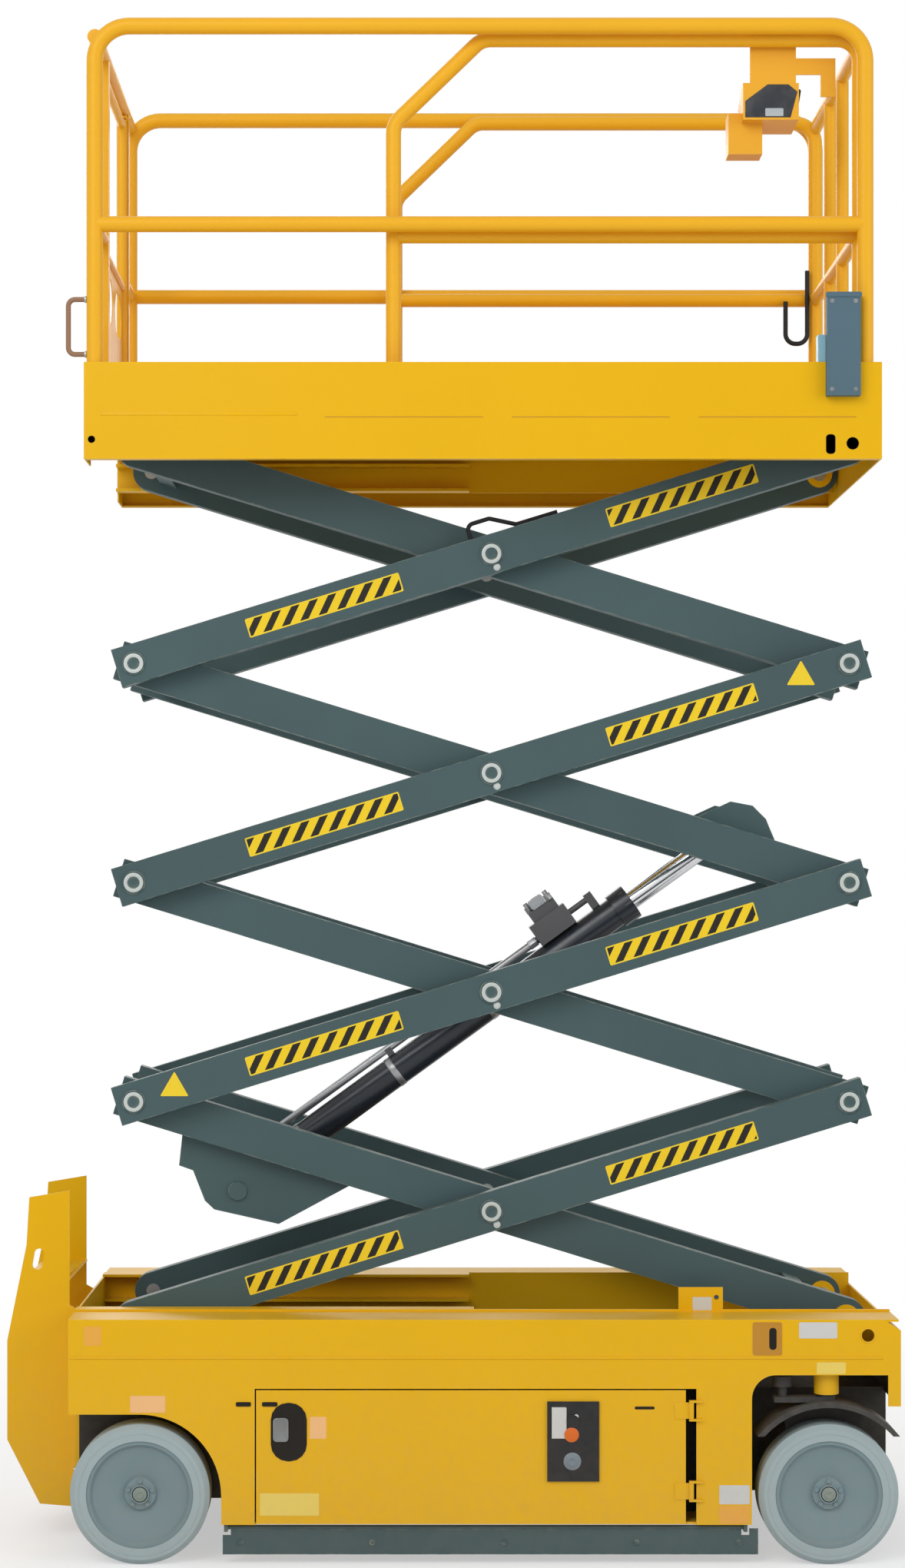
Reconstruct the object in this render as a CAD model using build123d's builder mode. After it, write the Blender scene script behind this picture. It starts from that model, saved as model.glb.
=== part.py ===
from build123d import *
from math import asin, atan2, cos, degrees, hypot, radians, sin
import os

# Self-propelled electric scissor lift with four stages of arms, platform raised.
# Millimetres. +X points to the steered end, +Y to the left side, +Z up. The origin is on
# the floor, below the middle of the overall length. "Right" is the side of the door with
# the ground controls (-Y), "left" the other one (+Y).

# Chassis
overall_length = 2477.0
front_x = overall_length / 2
ladder_x = -overall_length / 2
rear_x = ladder_x + 211.5   # rear wall of the chassis, in front of the ladder
rear_wheel_x = rear_x + 194.0
front_wheel_x = front_x - 195.5
skin_y = 565.0              # outside of the side skins
sheet = 4.0                 # skins and covers
plate = 6.0                 # walls and floors of the welded frame
well_half = 399.0           # half width of the open well in which the arms lie
deck_top_z = 667.0          # flat top beside the well
wall_top_z = 673.0          # top of the well's walls, with the roller tracks
well_floor_z = 436.0        # top of the well's floor behind the front axle
skirt_z = 109.0             # underside of the side compartments
bay_x = (rear_wheel_x + 227.0, front_wheel_x - 216.0)  # side compartments, between the wheel arches
rear_arch_z = 409.0         # underside of the skin above the rear wheels
rear_arch_r = 222.0
front_arch_z = 516.0        # top of the opening in the skin over the front wheels
front_arch_r = 65.0
nose_cut = (45.0, 30.0)     # bevel of the skins' upper front corner
front_lip_x = front_x - 34.5
front_lip_z = 431.0
front_roof_z = 562.0        # top of the plate over the front wheels
tie_down = (front_x - 89.5, 624.0)  # x, z of the holes in the skins
tie_down_r = 17.0
lock_plate_x = (bay_x[1] - 180.0, bay_x[1] - 57.0)
lock_plate_z = 734.0
spine_half = 296.0          # half width of the frame between the front wheels
spine_top_z = 440.0

# Wheels
wheel_r = 190.5
tyre_width = 122.0
wheel_out_y = 568.0         # outer face of the tyres
wheel_y = wheel_out_y - tyre_width / 2
rim_r = 146.0
rim_lip = 10.0              # width of the rim's outer edge
axle_r = 22.0
fit = 0.05                  # radial clearance of shafts in their bores

# Doors of the side compartments, hinged at their front edge
door_x = (bay_x[0] + 90.0, bay_x[1] - 174.0)
door_z = (111.0, 475.0)
door_gap = 4.0
hinge_x = door_x[1] + 15.0
hinge_y = skin_y + 3.0
hinge_z = (201.0, 420.0)

# Pothole guards, hung from rods under the compartments
guard_x = (bay_x[0] - 2.0, bay_x[1] + 25.0)
guard_y = 545.0
guard_z = 99.0
guard_rod_r = 6.0
rod_play = 0.1              # radial play of the guards' rods in their ears
guard_ear_x = (bay_x[0] + 2.0, bay_x[1] - 15.0)
guard_notch = 22.0          # from the rod down to the notches that clear the ears

# Steering
steer_lug = 120.0           # from the kingpin to the tie rod's pins
kingpin_r = 24.0
yoke_in_r = 236.0
yoke_out_r = 250.0
tie_rod_z = 492.0

# Scissor arms
base_pin = (front_x - 109.5, 632.0)  # x, z of the fixed pins in the chassis
stowed_gap = 10.0           # between the flat arms' ends and the rear wall
arm_end = 50.0              # from an end pin to the arm's square end
arm_length = base_pin[0] - arm_end - stowed_gap - rear_x - plate  # between the end pins
arm_depth = 110.0
arm_width = 50.0
arm_wall = 5.0
outer_y = 320.0             # middle of the outer arms
inner_y = 258.0             # middle of the inner arms
deck_pin_z = 3079.0
stage_count = 4
stage_rise = (deck_pin_z - base_pin[1]) / stage_count
rest_angle = degrees(asin(stage_rise / arm_length))
cross_x = base_pin[0] - arm_length / 2 * cos(radians(rest_angle))
left_x = base_pin[0] - arm_length * cos(radians(rest_angle))
pin_r = 20.0
boss_r = 32.0
boss_proud = 4.0
tube_side = 50.0            # square cross tubes of the inner pairs
half_arm = arm_length / 2
low_tube_t = half_arm - 110.0  # cross tubes, from the arm's middle towards its lower end
high_tube_t = half_arm - 60.0  # and towards its upper end
side_play = 4.0             # beside the rollers and the pins' heads

# Rollers at the sliding ends
roller_r = 32.0
roller_width = 40.0
track_play = 1.0
track_flange = 8.0
roller_y = outer_y + arm_width / 2 + side_play + roller_width / 2
track_end_x = rear_x + 1107.0

# Lift cylinder, placed along (t) and above (n) the inner arms of stages 1 and 3
low_pin_tn = (347.0 - half_arm, -165.0)
high_pin_tn = (half_arm - 323.0, 72.0)
low_lug = [(along - half_arm, n) for along, n in
           ((140.0, 0.0), (168.0, -145.0), (210.0, -147.0), (267.0, -219.0), (300.0, -235.0),
            (486.0, -221.0), (645.0, -60.0), (645.0, 0.0))]
high_lug = [(half_arm - along, n) for along, n in
            ((475.0, 0.0), (445.0, 62.0), (373.0, 126.0), (310.0, 133.0), (263.0, 108.0), (215.0, 50.0),
             (195.0, 0.0))]
lug_plate = 12.0
shaft_r = 25.0
barrel_r = 45.0
barrel_length = 1395.0      # from the lower pin to the gland's face
rod_r = 27.0
eye_r = 48.0
barrel_from = 40.0          # from the lower pin to the barrel's closed end
eye_width = 70.0

# Platform
deck_x = (rear_x + 40.0, front_x - 48.5)
deck_half = 545.0
floor_z = deck_pin_z + 63.0
floor_t = 3.0
skirt_low_z = 3011.0
toe_top_z = 3275.0
rail_r = 22.5
rail_top_z = 4198.0         # axis of the top rail
rail_mid_z = 3656.0         # axis of the middle rail
rail_y = deck_half - sheet - rail_r - 0.3
rail_bend = 95.0
rear_post_x = deck_x[0] + 27.0
front_post_x = deck_x[1] - 42.0

# Entry gate
gate_post_y = 300.0
gate_half = 268.0
gate_stile_r = 14.0
gate_hinge_y = gate_half - gate_stile_r
gate_panel_z = (floor_z + 16.0, 3622.0)
gate_top_z = 4118.0
gate_pin_r = 8.0

# Roll-out extension
ext_r = 21.0
ext_y = rail_y - rail_r - 6.0 - sheet - 0.3 - ext_r
ext_front_x = front_post_x - 8.0
ext_post_x = ext_front_x - 1283.0
ext_knee_z = 3942.0
ext_knee_x = ext_post_x + 243.0
ext_top_z = 4176.0
ext_mid_z = 3635.0
ext_floor_z = floor_z + 8.0
ext_gate_y = 130.0

os.makedirs("parts", exist_ok=True)


def block(x, y, z, mode=Mode.ADD):
    """A block between two ends on each axis."""
    with Locations(((x[0] + x[1]) / 2, (y[0] + y[1]) / 2, (z[0] + z[1]) / 2)):
        Box(abs(x[1] - x[0]), abs(y[1] - y[0]), abs(z[1] - z[0]), mode=mode)


def rod_y(x, z, radius, y, mode=Mode.ADD):
    """A round bar along Y between two ends."""
    with Locations(Location((x, (y[0] + y[1]) / 2, z), (90, 0, 0))):
        Cylinder(radius, abs(y[1] - y[0]), mode=mode)


def rod_z(x, y, radius, z, mode=Mode.ADD):
    """A round bar along Z between two ends."""
    with Locations((x, y, (z[0] + z[1]) / 2)):
        Cylinder(radius, abs(z[1] - z[0]), mode=mode)


def side_plane(y):
    """The plane of side outlines, with its x along +X and its y along +Z, facing -Y."""
    return Plane(origin=(0, y, 0), x_dir=(1, 0, 0), z_dir=(0, -1, 0))


def save(builder, name):
    """Give a finished piece its name and write it."""
    builder.part.label = name
    export_step(builder.part, f"parts/{name}.step")


# Welded chassis frame with its side skins
front_arch_x = bay_x[1] + plate
with BuildPart() as chassis_frame:
    for side in (1, -1):
        with BuildSketch(side_plane(side * skin_y)):
            with BuildLine():
                Polyline((rear_wheel_x, rear_arch_z), (rear_x, rear_arch_z), (rear_x, deck_top_z),
                         (front_x - nose_cut[0], deck_top_z), (front_x, deck_top_z - nose_cut[1]),
                         (front_x, front_lip_z), (front_lip_x, front_lip_z), (front_lip_x, front_arch_z),
                         (front_arch_x + front_arch_r, front_arch_z))
                RadiusArc((front_arch_x + front_arch_r, front_arch_z),
                          (front_arch_x, front_arch_z - front_arch_r), -front_arch_r)
                Polyline((front_arch_x, front_arch_z - front_arch_r), (front_arch_x, skirt_z),
                         (rear_wheel_x + rear_arch_r, skirt_z),
                         (rear_wheel_x + rear_arch_r, rear_arch_z - rear_arch_r))
                RadiusArc((rear_wheel_x + rear_arch_r, rear_arch_z - rear_arch_r),
                          (rear_wheel_x, rear_arch_z), -rear_arch_r)
            make_face()
        extrude(amount=side * sheet)
    # well walls, floors and end walls
    for side in (1, -1):
        wall = (side * well_half, side * (well_half + plate))
        block((rear_x, bay_x[0]), wall, (150.0, wall_top_z))
        block((bay_x[0], bay_x[1]), wall, (skirt_z, wall_top_z))
        block((bay_x[1], front_x - plate), wall, (front_roof_z - plate, wall_top_z))
        block((rear_x, front_x - plate), (side * well_half, side * (skin_y - sheet / 2)),
              (deck_top_z - plate, deck_top_z))
        # roof of the rear wheel housing, floor and ends of the compartment
        block((rear_x, bay_x[0]), (side * well_half, side * (skin_y - sheet / 2)),
              (rear_arch_z, rear_arch_z + plate))
        block(bay_x, (side * well_half, side * (skin_y - sheet / 2)), (skirt_z, skirt_z + plate))
        block((door_x[0] - door_gap, hinge_x + 14.0), (side * (skin_y - 10.0), side * skin_y),
              (skirt_z, door_z[1] + door_gap), mode=Mode.SUBTRACT)
        for leaf_z in hinge_z:
            for ear_z in (leaf_z - 28.0, leaf_z + 22.5):
                block((hinge_x - 6.0, hinge_x + 30.0), (side * (skin_y - sheet), side * (hinge_y + 6.0)),
                      (ear_z, ear_z + 5.5))
            rod_z(hinge_x, side * hinge_y, 4.0, (leaf_z - 28.0, leaf_z + 28.0))
        for end_x in bay_x:
            block((end_x, end_x + plate), (side * well_half, side * (skin_y - sheet / 2)),
                  (skirt_z, deck_top_z))
        # roller tracks
        track_y = (side * (roller_y - roller_width / 2), side * well_half)
        for low, high in ((-roller_r - track_play - track_flange, -roller_r - track_play),
                          (roller_r + track_play, roller_r + track_play + track_flange)):
            block((rear_x, track_end_x), track_y, (base_pin[1] + low, base_pin[1] + high))
        # tie-down hole in the skin
        rod_y(*tie_down, tie_down_r, (side * (skin_y - sheet), side * skin_y), mode=Mode.SUBTRACT)
        # ears of the guards' hinge rods
        for ear_x in guard_ear_x:
            block((ear_x, ear_x + 10.0), (side * (guard_y - 12.0), side * (guard_y + 12.0)),
                  (guard_z - 11.0, skirt_z + 1.0))
            with Locations(Location((ear_x + 5.0, side * guard_y, guard_z), (0, 90, 0))):
                Cylinder(guard_rod_r + rod_play, 10.0, mode=Mode.SUBTRACT)
    block((rear_x, bay_x[1]), (-well_half, well_half), (well_floor_z - plate, well_floor_z))
    block((rear_x, rear_x + plate), (-skin_y + sheet / 2, skin_y - sheet / 2), (rear_arch_z, deck_top_z))
    block((rear_x, rear_x + plate), (-well_half, well_half), (150.0, rear_arch_z + plate))
    block((bay_x[0] - plate, bay_x[0]), (-well_half, well_half), (skirt_z + 50.0, well_floor_z))
    # front axle carrier
    block((bay_x[1], bay_x[1] + plate), (-skin_y + sheet / 2, skin_y - sheet / 2), (skirt_z, front_roof_z))
    block((bay_x[1], front_x - plate), (-skin_y + sheet / 2, skin_y - sheet / 2),
          (front_roof_z - plate, front_roof_z))
    block((front_x - plate, front_x), (-skin_y + sheet / 2, skin_y - sheet / 2),
          (front_lip_z, deck_top_z - nose_cut[1]))
    block((front_x - plate, front_x), (-spine_half, spine_half), (150.0, front_lip_z + plate))
    for side in (1, -1):
        block((bay_x[1], front_x), (side * (spine_half - plate), side * spine_half), (150.0, spine_top_z))
    block((bay_x[1], front_x), (-spine_half, spine_half), (spine_top_z - plate, spine_top_z))
    # kingpin housings with their gussets
    for side in (1, -1):
        rod_z(front_wheel_x, side * wheel_y, kingpin_r + 10.0, (458.0, front_roof_z - plate))
        rod_z(front_wheel_x, side * wheel_y, kingpin_r + fit, (440.0, front_roof_z - plate - 10.0),
              mode=Mode.SUBTRACT)
    # ears of the base pins
    for side in (1, -1):
        for ear in (inner_y - arm_width / 2 - 2.0 - 10.0, inner_y + arm_width / 2 + 1.0):
            with BuildSketch(side_plane(side * ear)):
                with BuildLine():
                    Polyline((base_pin[0] - 70.0, front_roof_z - 1.0), (base_pin[0] + 70.0, front_roof_z - 1.0),
                             (base_pin[0] + 38.0, base_pin[1]))
                    ThreePointArc((base_pin[0] + 38.0, base_pin[1]), (base_pin[0], base_pin[1] + 38.0),
                                  (base_pin[0] - 38.0, base_pin[1]))
                    Line((base_pin[0] - 38.0, base_pin[1]), (base_pin[0] - 70.0, front_roof_z - 1.0))
                make_face()
                with Locations(base_pin):
                    Circle(pin_r, mode=Mode.SUBTRACT)
            extrude(amount=-10.0 * side)
    # lock plate that stands on the right wall
    block(lock_plate_x, (-well_half - plate, -well_half), (wall_top_z, lock_plate_z))
    rod_y(lock_plate_x[1] - 18.0, lock_plate_z - 28.0, 7.0, (-well_half - plate, -well_half),
          mode=Mode.SUBTRACT)
save(chassis_frame, "chassis_frame")

# Ladder behind the rear wall, two side sheets with three steps
ladder_half = 225.0
ladder_outline = [(rear_x, 640.0), (rear_x - 35.0, 660.0), (rear_x - 35.0, 984.0), (ladder_x + 62.5, 965.0),
                  (ladder_x + 54.5, 830.0), (ladder_x, 560.0), (ladder_x, 279.0), (ladder_x + 92.5, 98.0),
                  (rear_x - 20.0, 90.0), (rear_x, 150.0)]
step_depth = 130.0
with BuildPart() as entry_ladder:
    for side in (1, -1):
        with BuildSketch(side_plane(side * ladder_half)):
            with BuildLine():
                Polyline(*ladder_outline, close=True)
            make_face()
            with Locations((ladder_x + 88.5, 790.0)):
                SlotOverall(60.0, 28.0, rotation=80, mode=Mode.SUBTRACT)
        extrude(amount=side * sheet)
        # flange along the rear edge
        block((ladder_x, ladder_x + sheet), (side * (ladder_half - 30.0), side * ladder_half), (285.0, 555.0))
    for step_z, step_in in ((230.0, 38.5), (480.0, 23.5), (730.0, 48.5)):
        step_x = ladder_x + step_in
        block((step_x, step_x + step_depth), (-ladder_half, ladder_half), (step_z, step_z + sheet))
        block((step_x, step_x + sheet), (-ladder_half, ladder_half), (step_z - 26.0, step_z + sheet))
save(entry_ladder, "entry_ladder")

# Heavy masses inside the side compartments
with BuildPart() as battery_pack:
    block((bay_x[0] + 106.0, bay_x[1] - 267.0), (well_half + plate + 20.0, skin_y - 30.0),
          (skirt_z + plate, 380.0))
save(battery_pack, "battery_pack")
with BuildPart() as power_unit:
    block((bay_x[0] + 126.0, bay_x[0] + 806.0), (-well_half - plate - 20.0, -skin_y + 35.0),
          (skirt_z + plate, 370.0))
save(power_unit, "power_unit")

# Base pins in the ears of the frame
with BuildPart() as base_pins:
    for side in (1, -1):
        rod_y(base_pin[0], base_pin[1], pin_r - fit,
              (side * (inner_y - arm_width / 2 - 18.0), side * (inner_y + arm_width / 2 + 14.0)))
save(base_pins, "base_pins")

# Wheels: solid tyres on dished rims
wheel_table = (("rear_left", rear_wheel_x, 1), ("rear_right", rear_wheel_x, -1),
               ("front_left", front_wheel_x, 1), ("front_right", front_wheel_x, -1))
half_tyre = tyre_width / 2
for name, x, side in wheel_table:
    axle = Axis((x, side * wheel_y, wheel_r), (0, side, 0))
    with BuildPart() as tyre:
        with BuildSketch(Plane(origin=(x, side * wheel_y, wheel_r), x_dir=(1, 0, 0), z_dir=(0, 0, 1))):
            with BuildLine():
                Polyline((rim_r, -half_tyre), (wheel_r - 14.0, -half_tyre), (wheel_r, -half_tyre + 14.0),
                         (wheel_r, half_tyre - 14.0), (wheel_r - 14.0, half_tyre), (rim_r, half_tyre),
                         close=True)
            make_face()
        revolve(axis=axle)
    save(tyre, f"tyre_{name}")
    with BuildPart() as rim:
        with BuildSketch(Plane(origin=(x, side * wheel_y, wheel_r), x_dir=(1, 0, 0),
                               z_dir=(0, 0, 1))):
            with BuildLine():
                out = side * 1.0
                Polyline((rim_r, -out * (half_tyre - 4.0)), (rim_r, out * (half_tyre - 3.0)),
                         (rim_r - rim_lip, out * (half_tyre - 3.0)),
                         (rim_r - rim_lip - 8.0, out * (half_tyre - 14.0)),
                         (46.0, out * (half_tyre - 30.0)), (42.0, out * (half_tyre - 20.0)),
                         (27.0, out * (half_tyre - 18.0)), (25.0, out * (half_tyre - 8.0)),
                         (0.0, out * (half_tyre - 8.0)),
                         (0.0, out * 8.0), (axle_r + fit, out * 8.0),
                         (axle_r + fit, -out * (half_tyre - 22.0)),
                         (46.0, -out * (half_tyre - 22.0)), (46.0, out * 14.0),
                         (rim_r - 12.0, out * 14.0), (rim_r - 12.0, -out * (half_tyre - 4.0)), close=True)
            make_face()
        revolve(axis=axle)
    save(rim, f"rim_{name}")

# Rear axle: a tube across the frame with a stub for each wheel
stub_in_y = well_half + plate
with BuildPart() as rear_axle:
    rod_y(rear_wheel_x, wheel_r, 36.0, (-well_half, well_half))
    for side in (1, -1):
        rod_y(rear_wheel_x, wheel_r, 44.0, (side * (well_half + plate), side * (wheel_y - half_tyre + 16.0)))
        rod_y(rear_wheel_x, wheel_r, axle_r, (side * (well_half + plate), side * (wheel_y + 6.0)))
save(rear_axle, "rear_axle")

# Steered knuckles: kingpin, yoke over the tyre, leg inside the wheel, drive motor and lug
for name, side in (("left", 1), ("right", -1)):
    with BuildPart() as knuckle:
        rod_z(front_wheel_x, side * wheel_y, kingpin_r, (430.0, front_roof_z - plate - 12.0))
        with BuildSketch(side_plane(side * (wheel_y + half_tyre - 6.0))):
            with Locations((front_wheel_x, wheel_r)):
                Circle(yoke_out_r)
                Circle(yoke_in_r, mode=Mode.SUBTRACT)
                with Locations((0, -yoke_out_r + yoke_in_r * sin(radians(42)))):
                    Rectangle(2.2 * yoke_out_r, 2 * yoke_out_r, mode=Mode.SUBTRACT)
        extrude(amount=side * (2 * half_tyre + 8.0))
        leg_y = (side * (wheel_y - half_tyre - 18.0), side * (wheel_y - half_tyre - 6.0))
        with BuildSketch(side_plane(leg_y[0])):
            with BuildLine():
                Polyline((front_wheel_x - 80.0, wheel_r - 30.0), (front_wheel_x + 80.0, wheel_r - 30.0),
                         (front_wheel_x + 110.0, wheel_r + 215.0), (front_wheel_x - 110.0, wheel_r + 215.0),
                         close=True)
            make_face()
        extrude(amount=-side * 12.0)
        rod_y(front_wheel_x, wheel_r, 66.0, (side * (wheel_y - half_tyre - 90.0), leg_y[0]))
        rod_y(front_wheel_x, wheel_r, axle_r, (leg_y[0], side * (wheel_y + 6.0)))
        # lug for the tie rod
        block((front_wheel_x - steer_lug - 25.0, front_wheel_x),
              (side * wheel_y - 25.0, side * wheel_y + 25.0), (436.0, 450.0))
        rod_z(front_wheel_x - steer_lug, side * wheel_y, 12.0, (440.0, tie_rod_z + 16.0))
    save(knuckle, f"knuckle_{name}")

# Tie rod between the lugs' pins
with BuildPart() as tie_rod:
    for side in (1, -1):
        rod_z(front_wheel_x - steer_lug, side * wheel_y, 26.0, (tie_rod_z - 14.0, tie_rod_z + 14.0))
    rod_y(front_wheel_x - steer_lug, tie_rod_z, 11.0, (-wheel_y + 20.0, wheel_y - 20.0))
    for side in (1, -1):
        rod_z(front_wheel_x - steer_lug, side * wheel_y, 12.0 + fit, (tie_rod_z - 20.0, tie_rod_z + 20.0),
              mode=Mode.SUBTRACT)
save(tie_rod, "tie_rod")

# Doors of the side compartments
for name, side in (("left", 1), ("right", -1)):
    with BuildPart() as door:
        with BuildSketch(side_plane(side * skin_y)):
            with Locations(((door_x[0] + door_x[1]) / 2, (door_z[0] + door_z[1]) / 2)):
                Rectangle(door_x[1] - door_x[0], door_z[1] - door_z[0])
        extrude(amount=side * sheet)
        for leaf_z in hinge_z:
            block((door_x[1] - 30.0, hinge_x), (side * (skin_y - 1.0), side * (skin_y + 2.5)),
                  (leaf_z - 22.0, leaf_z + 22.0))
            rod_z(hinge_x, side * hinge_y, 7.0, (leaf_z - 22.0, leaf_z + 22.0))
            rod_z(hinge_x, side * hinge_y, 4.0 + fit, (leaf_z - 22.0, leaf_z + 22.0), mode=Mode.SUBTRACT)
    save(door, f"door_{name}")

# Pothole guards that hang from rods along the compartments' lower edges
for name, side in (("left", 1), ("right", -1)):
    with BuildPart() as guard:
        with BuildSketch(side_plane(side * (guard_y + 3.0))):
            with BuildLine():
                Polyline((guard_x[0], 25.0), (guard_x[0], guard_z - guard_notch),
                         (guard_x[0] + 22.0, guard_z - guard_notch),
                         (guard_x[0] + 22.0, guard_z - 4.0), (guard_x[1], guard_z - 4.0), (guard_x[1], 25.0),
                         close=True)
            make_face()
        extrude(amount=side * plate)
        block((guard_x[0] + 10.0, guard_x[1] - 10.0), (side * (guard_y - 28.0), side * guard_y), (25.0, 31.0))
        block((guard_ear_x[1] - 6.0, guard_ear_x[1] + 16.0), (side * (guard_y - 6.0), side * (guard_y + 6.0)),
              (guard_z - guard_notch, guard_z), mode=Mode.SUBTRACT)
        rod_from, rod_to = guard_ear_x[0], guard_ear_x[1] + 10.0
        with Locations(Location(((rod_from + rod_to) / 2, side * guard_y, guard_z), (0, 90, 0))):
            Cylinder(guard_rod_r, rod_to - rod_from)
    save(guard, f"guard_{name}")


# Scissor arms
def arm_plane(stage, slope, y):
    """The plane of an arm's outline: its origin at the centre pin, its x along the arm to the right."""
    angle = radians(slope * rest_angle)
    return Plane(origin=(cross_x, y, base_pin[1] + (stage + 0.5) * stage_rise),
                 x_dir=(cos(angle), 0, sin(angle)), z_dir=(0, -1, 0))


def arm_point(stage, slope, t, n):
    """The x and z of a point that lies t along an arm and n above its middle line."""
    point = arm_plane(stage, slope, 0).from_local_coords((t, n, 0))
    return (point.X, point.Z)


for stage in range(stage_count):
    for pair, slope, pair_y in (("inner", -1, inner_y), ("outer", 1, outer_y)):
        low_end = 1 if pair == "inner" else -1        # where this pair's lower end lies along t
        round_ends = [end for end, is_round in ((low_end, stage == 0), (-low_end, stage == stage_count - 1))
                      if is_round]
        with BuildPart() as arms:
            for side in (1, -1):
                with BuildSketch(arm_plane(stage, slope, side * pair_y + arm_width / 2)):
                    Rectangle(arm_length, arm_depth)
                    for end in (1, -1):
                        if end in round_ends:
                            with Locations((end * half_arm, 0)):
                                Circle(arm_depth / 2)
                        else:
                            with Locations((end * (half_arm + arm_end / 2), 0)):
                                Rectangle(arm_end, arm_depth)
                extrude(amount=arm_width)
                with BuildSketch(arm_plane(stage, slope, side * pair_y + arm_width / 2 - arm_wall)):
                    Rectangle(arm_length - 2 * arm_depth / 2, arm_depth - 2 * arm_wall)
                extrude(amount=arm_width - 2 * arm_wall, mode=Mode.SUBTRACT)
                # bushes, and the proud rings of the outer arms
                with BuildSketch(arm_plane(stage, slope, side * pair_y + arm_width / 2 - arm_wall)):
                    Circle(boss_r)
                extrude(amount=arm_width - 2 * arm_wall)
                if pair == "outer":
                    with BuildSketch(arm_plane(stage, slope, side * (pair_y + arm_width / 2))):
                        with Locations((0, 0), (half_arm, 0), (-half_arm, 0)):
                            Circle(boss_r)
                    extrude(amount=-side * boss_proud)
                with BuildSketch(arm_plane(stage, slope, side * pair_y + arm_width / 2 + boss_proud)):
                    with Locations((0, 0), (half_arm, 0), (-half_arm, 0)):
                        Circle(pin_r)
                extrude(amount=arm_width + 2 * boss_proud, mode=Mode.SUBTRACT)
            if pair == "inner":
                with BuildSketch(arm_plane(stage, slope, inner_y - arm_width / 2)):
                    with Locations((low_tube_t, 0), (-high_tube_t, 0)):
                        Rectangle(tube_side, tube_side)
                        Rectangle(tube_side - 8.0, tube_side - 8.0, mode=Mode.SUBTRACT)
                extrude(amount=2 * inner_y - arm_width)
                for side in (1, -1):
                    if stage == 0:
                        with BuildSketch(arm_plane(stage, slope, side * (inner_y - arm_width / 2))):
                            with BuildLine():
                                Polyline(*low_lug, close=True)
                            make_face()
                            with Locations(low_pin_tn):
                                Circle(shaft_r, mode=Mode.SUBTRACT)
                        extrude(amount=side * lug_plate)
                    if stage == 2:
                        with BuildSketch(arm_plane(stage, slope, side * (inner_y - arm_width / 2))):
                            with BuildLine():
                                Polyline(*high_lug, close=True)
                            make_face()
                        extrude(amount=side * lug_plate)
        save(arms, f"{pair}_arms_{stage + 1}")

# Pins that ride with the outer pairs: middle, upper right and lower left
pin_in = inner_y - arm_width / 2 - 3.0
pin_out = outer_y + arm_width / 2 + boss_proud + 1.0
for stage in range(stage_count):
    with BuildPart() as pins:
        for side in (1, -1):
            for t in (0.0, half_arm, -half_arm):
                x, z = arm_point(stage, 1, t, 0.0)
                ends = [pin_in, pin_out]
                if t < 0 and stage == 0:
                    ends = [outer_y - arm_width / 2 - 3.0, roller_y + roller_width / 2]
                if t > 0 and stage == stage_count - 1:
                    ends = [outer_y - arm_width / 2 - 16.0, outer_y + arm_width / 2 + 18.0]
                rod_y(x, z, pin_r - fit, (side * ends[0], side * ends[1]))
    save(pins, f"pins_{stage + 1}")

# Rollers at the sliding ends, on the lowest outer pair and on the highest inner pair
low_slide = arm_point(0, 1, -half_arm, 0.0)
top_slide = arm_point(stage_count - 1, -1, -half_arm, 0.0)
for name, (x, z), pin_from in (("lower", low_slide, None), ("upper", top_slide, pin_in)):
    with BuildPart() as rollers:
        for side in (1, -1):
            rod_y(x, z, roller_r,
                  (side * (roller_y - roller_width / 2 + 1.0), side * (roller_y + roller_width / 2)))
            if pin_from:
                rod_y(x, z, pin_r - fit, (side * pin_from, side * roller_y))
            else:
                rod_y(x, z, pin_r, (side * (roller_y - 30.0), side * (roller_y + 30.0)), mode=Mode.SUBTRACT)
    save(rollers, f"{name}_rollers")

# Shaft of the cylinder's lower eye, held in the two lug plates of the lowest inner pair
low_pin = arm_point(0, -1, *low_pin_tn)
high_pin = arm_point(2, -1, *high_pin_tn)
lug_in_y = inner_y - arm_width / 2 - lug_plate
with BuildPart() as cylinder_shaft:
    rod_y(*low_pin, shaft_r - fit, (-lug_in_y - lug_plate - 10.0, lug_in_y + lug_plate + 10.0))
    for side in (1, -1):
        rod_y(*low_pin, shaft_r + 9.0, (side * (eye_width / 2 + 1.0), side * (eye_width / 2 + 25.0)))
save(cylinder_shaft, "cylinder_shaft")

# Lift cylinder, from the shaft of stage 1 to the lugs of stage 3
rest_length = hypot(high_pin[0] - low_pin[0], high_pin[1] - low_pin[1])
rest_lean = atan2(high_pin[1] - low_pin[1], high_pin[0] - low_pin[0])
barrel_wall = 7.0
piston_at = 368.0
piston_length = 40.0
gland_length = 40.0


def cylinder_plane(s):
    """A plane square to the cylinder's axis, s above the lower pin, with its y along +Y."""
    return Plane(origin=(low_pin[0] + s * cos(rest_lean), 0, low_pin[1] + s * sin(rest_lean)),
                 x_dir=(-sin(rest_lean), 0, cos(rest_lean)), z_dir=(cos(rest_lean), 0, sin(rest_lean)))


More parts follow.
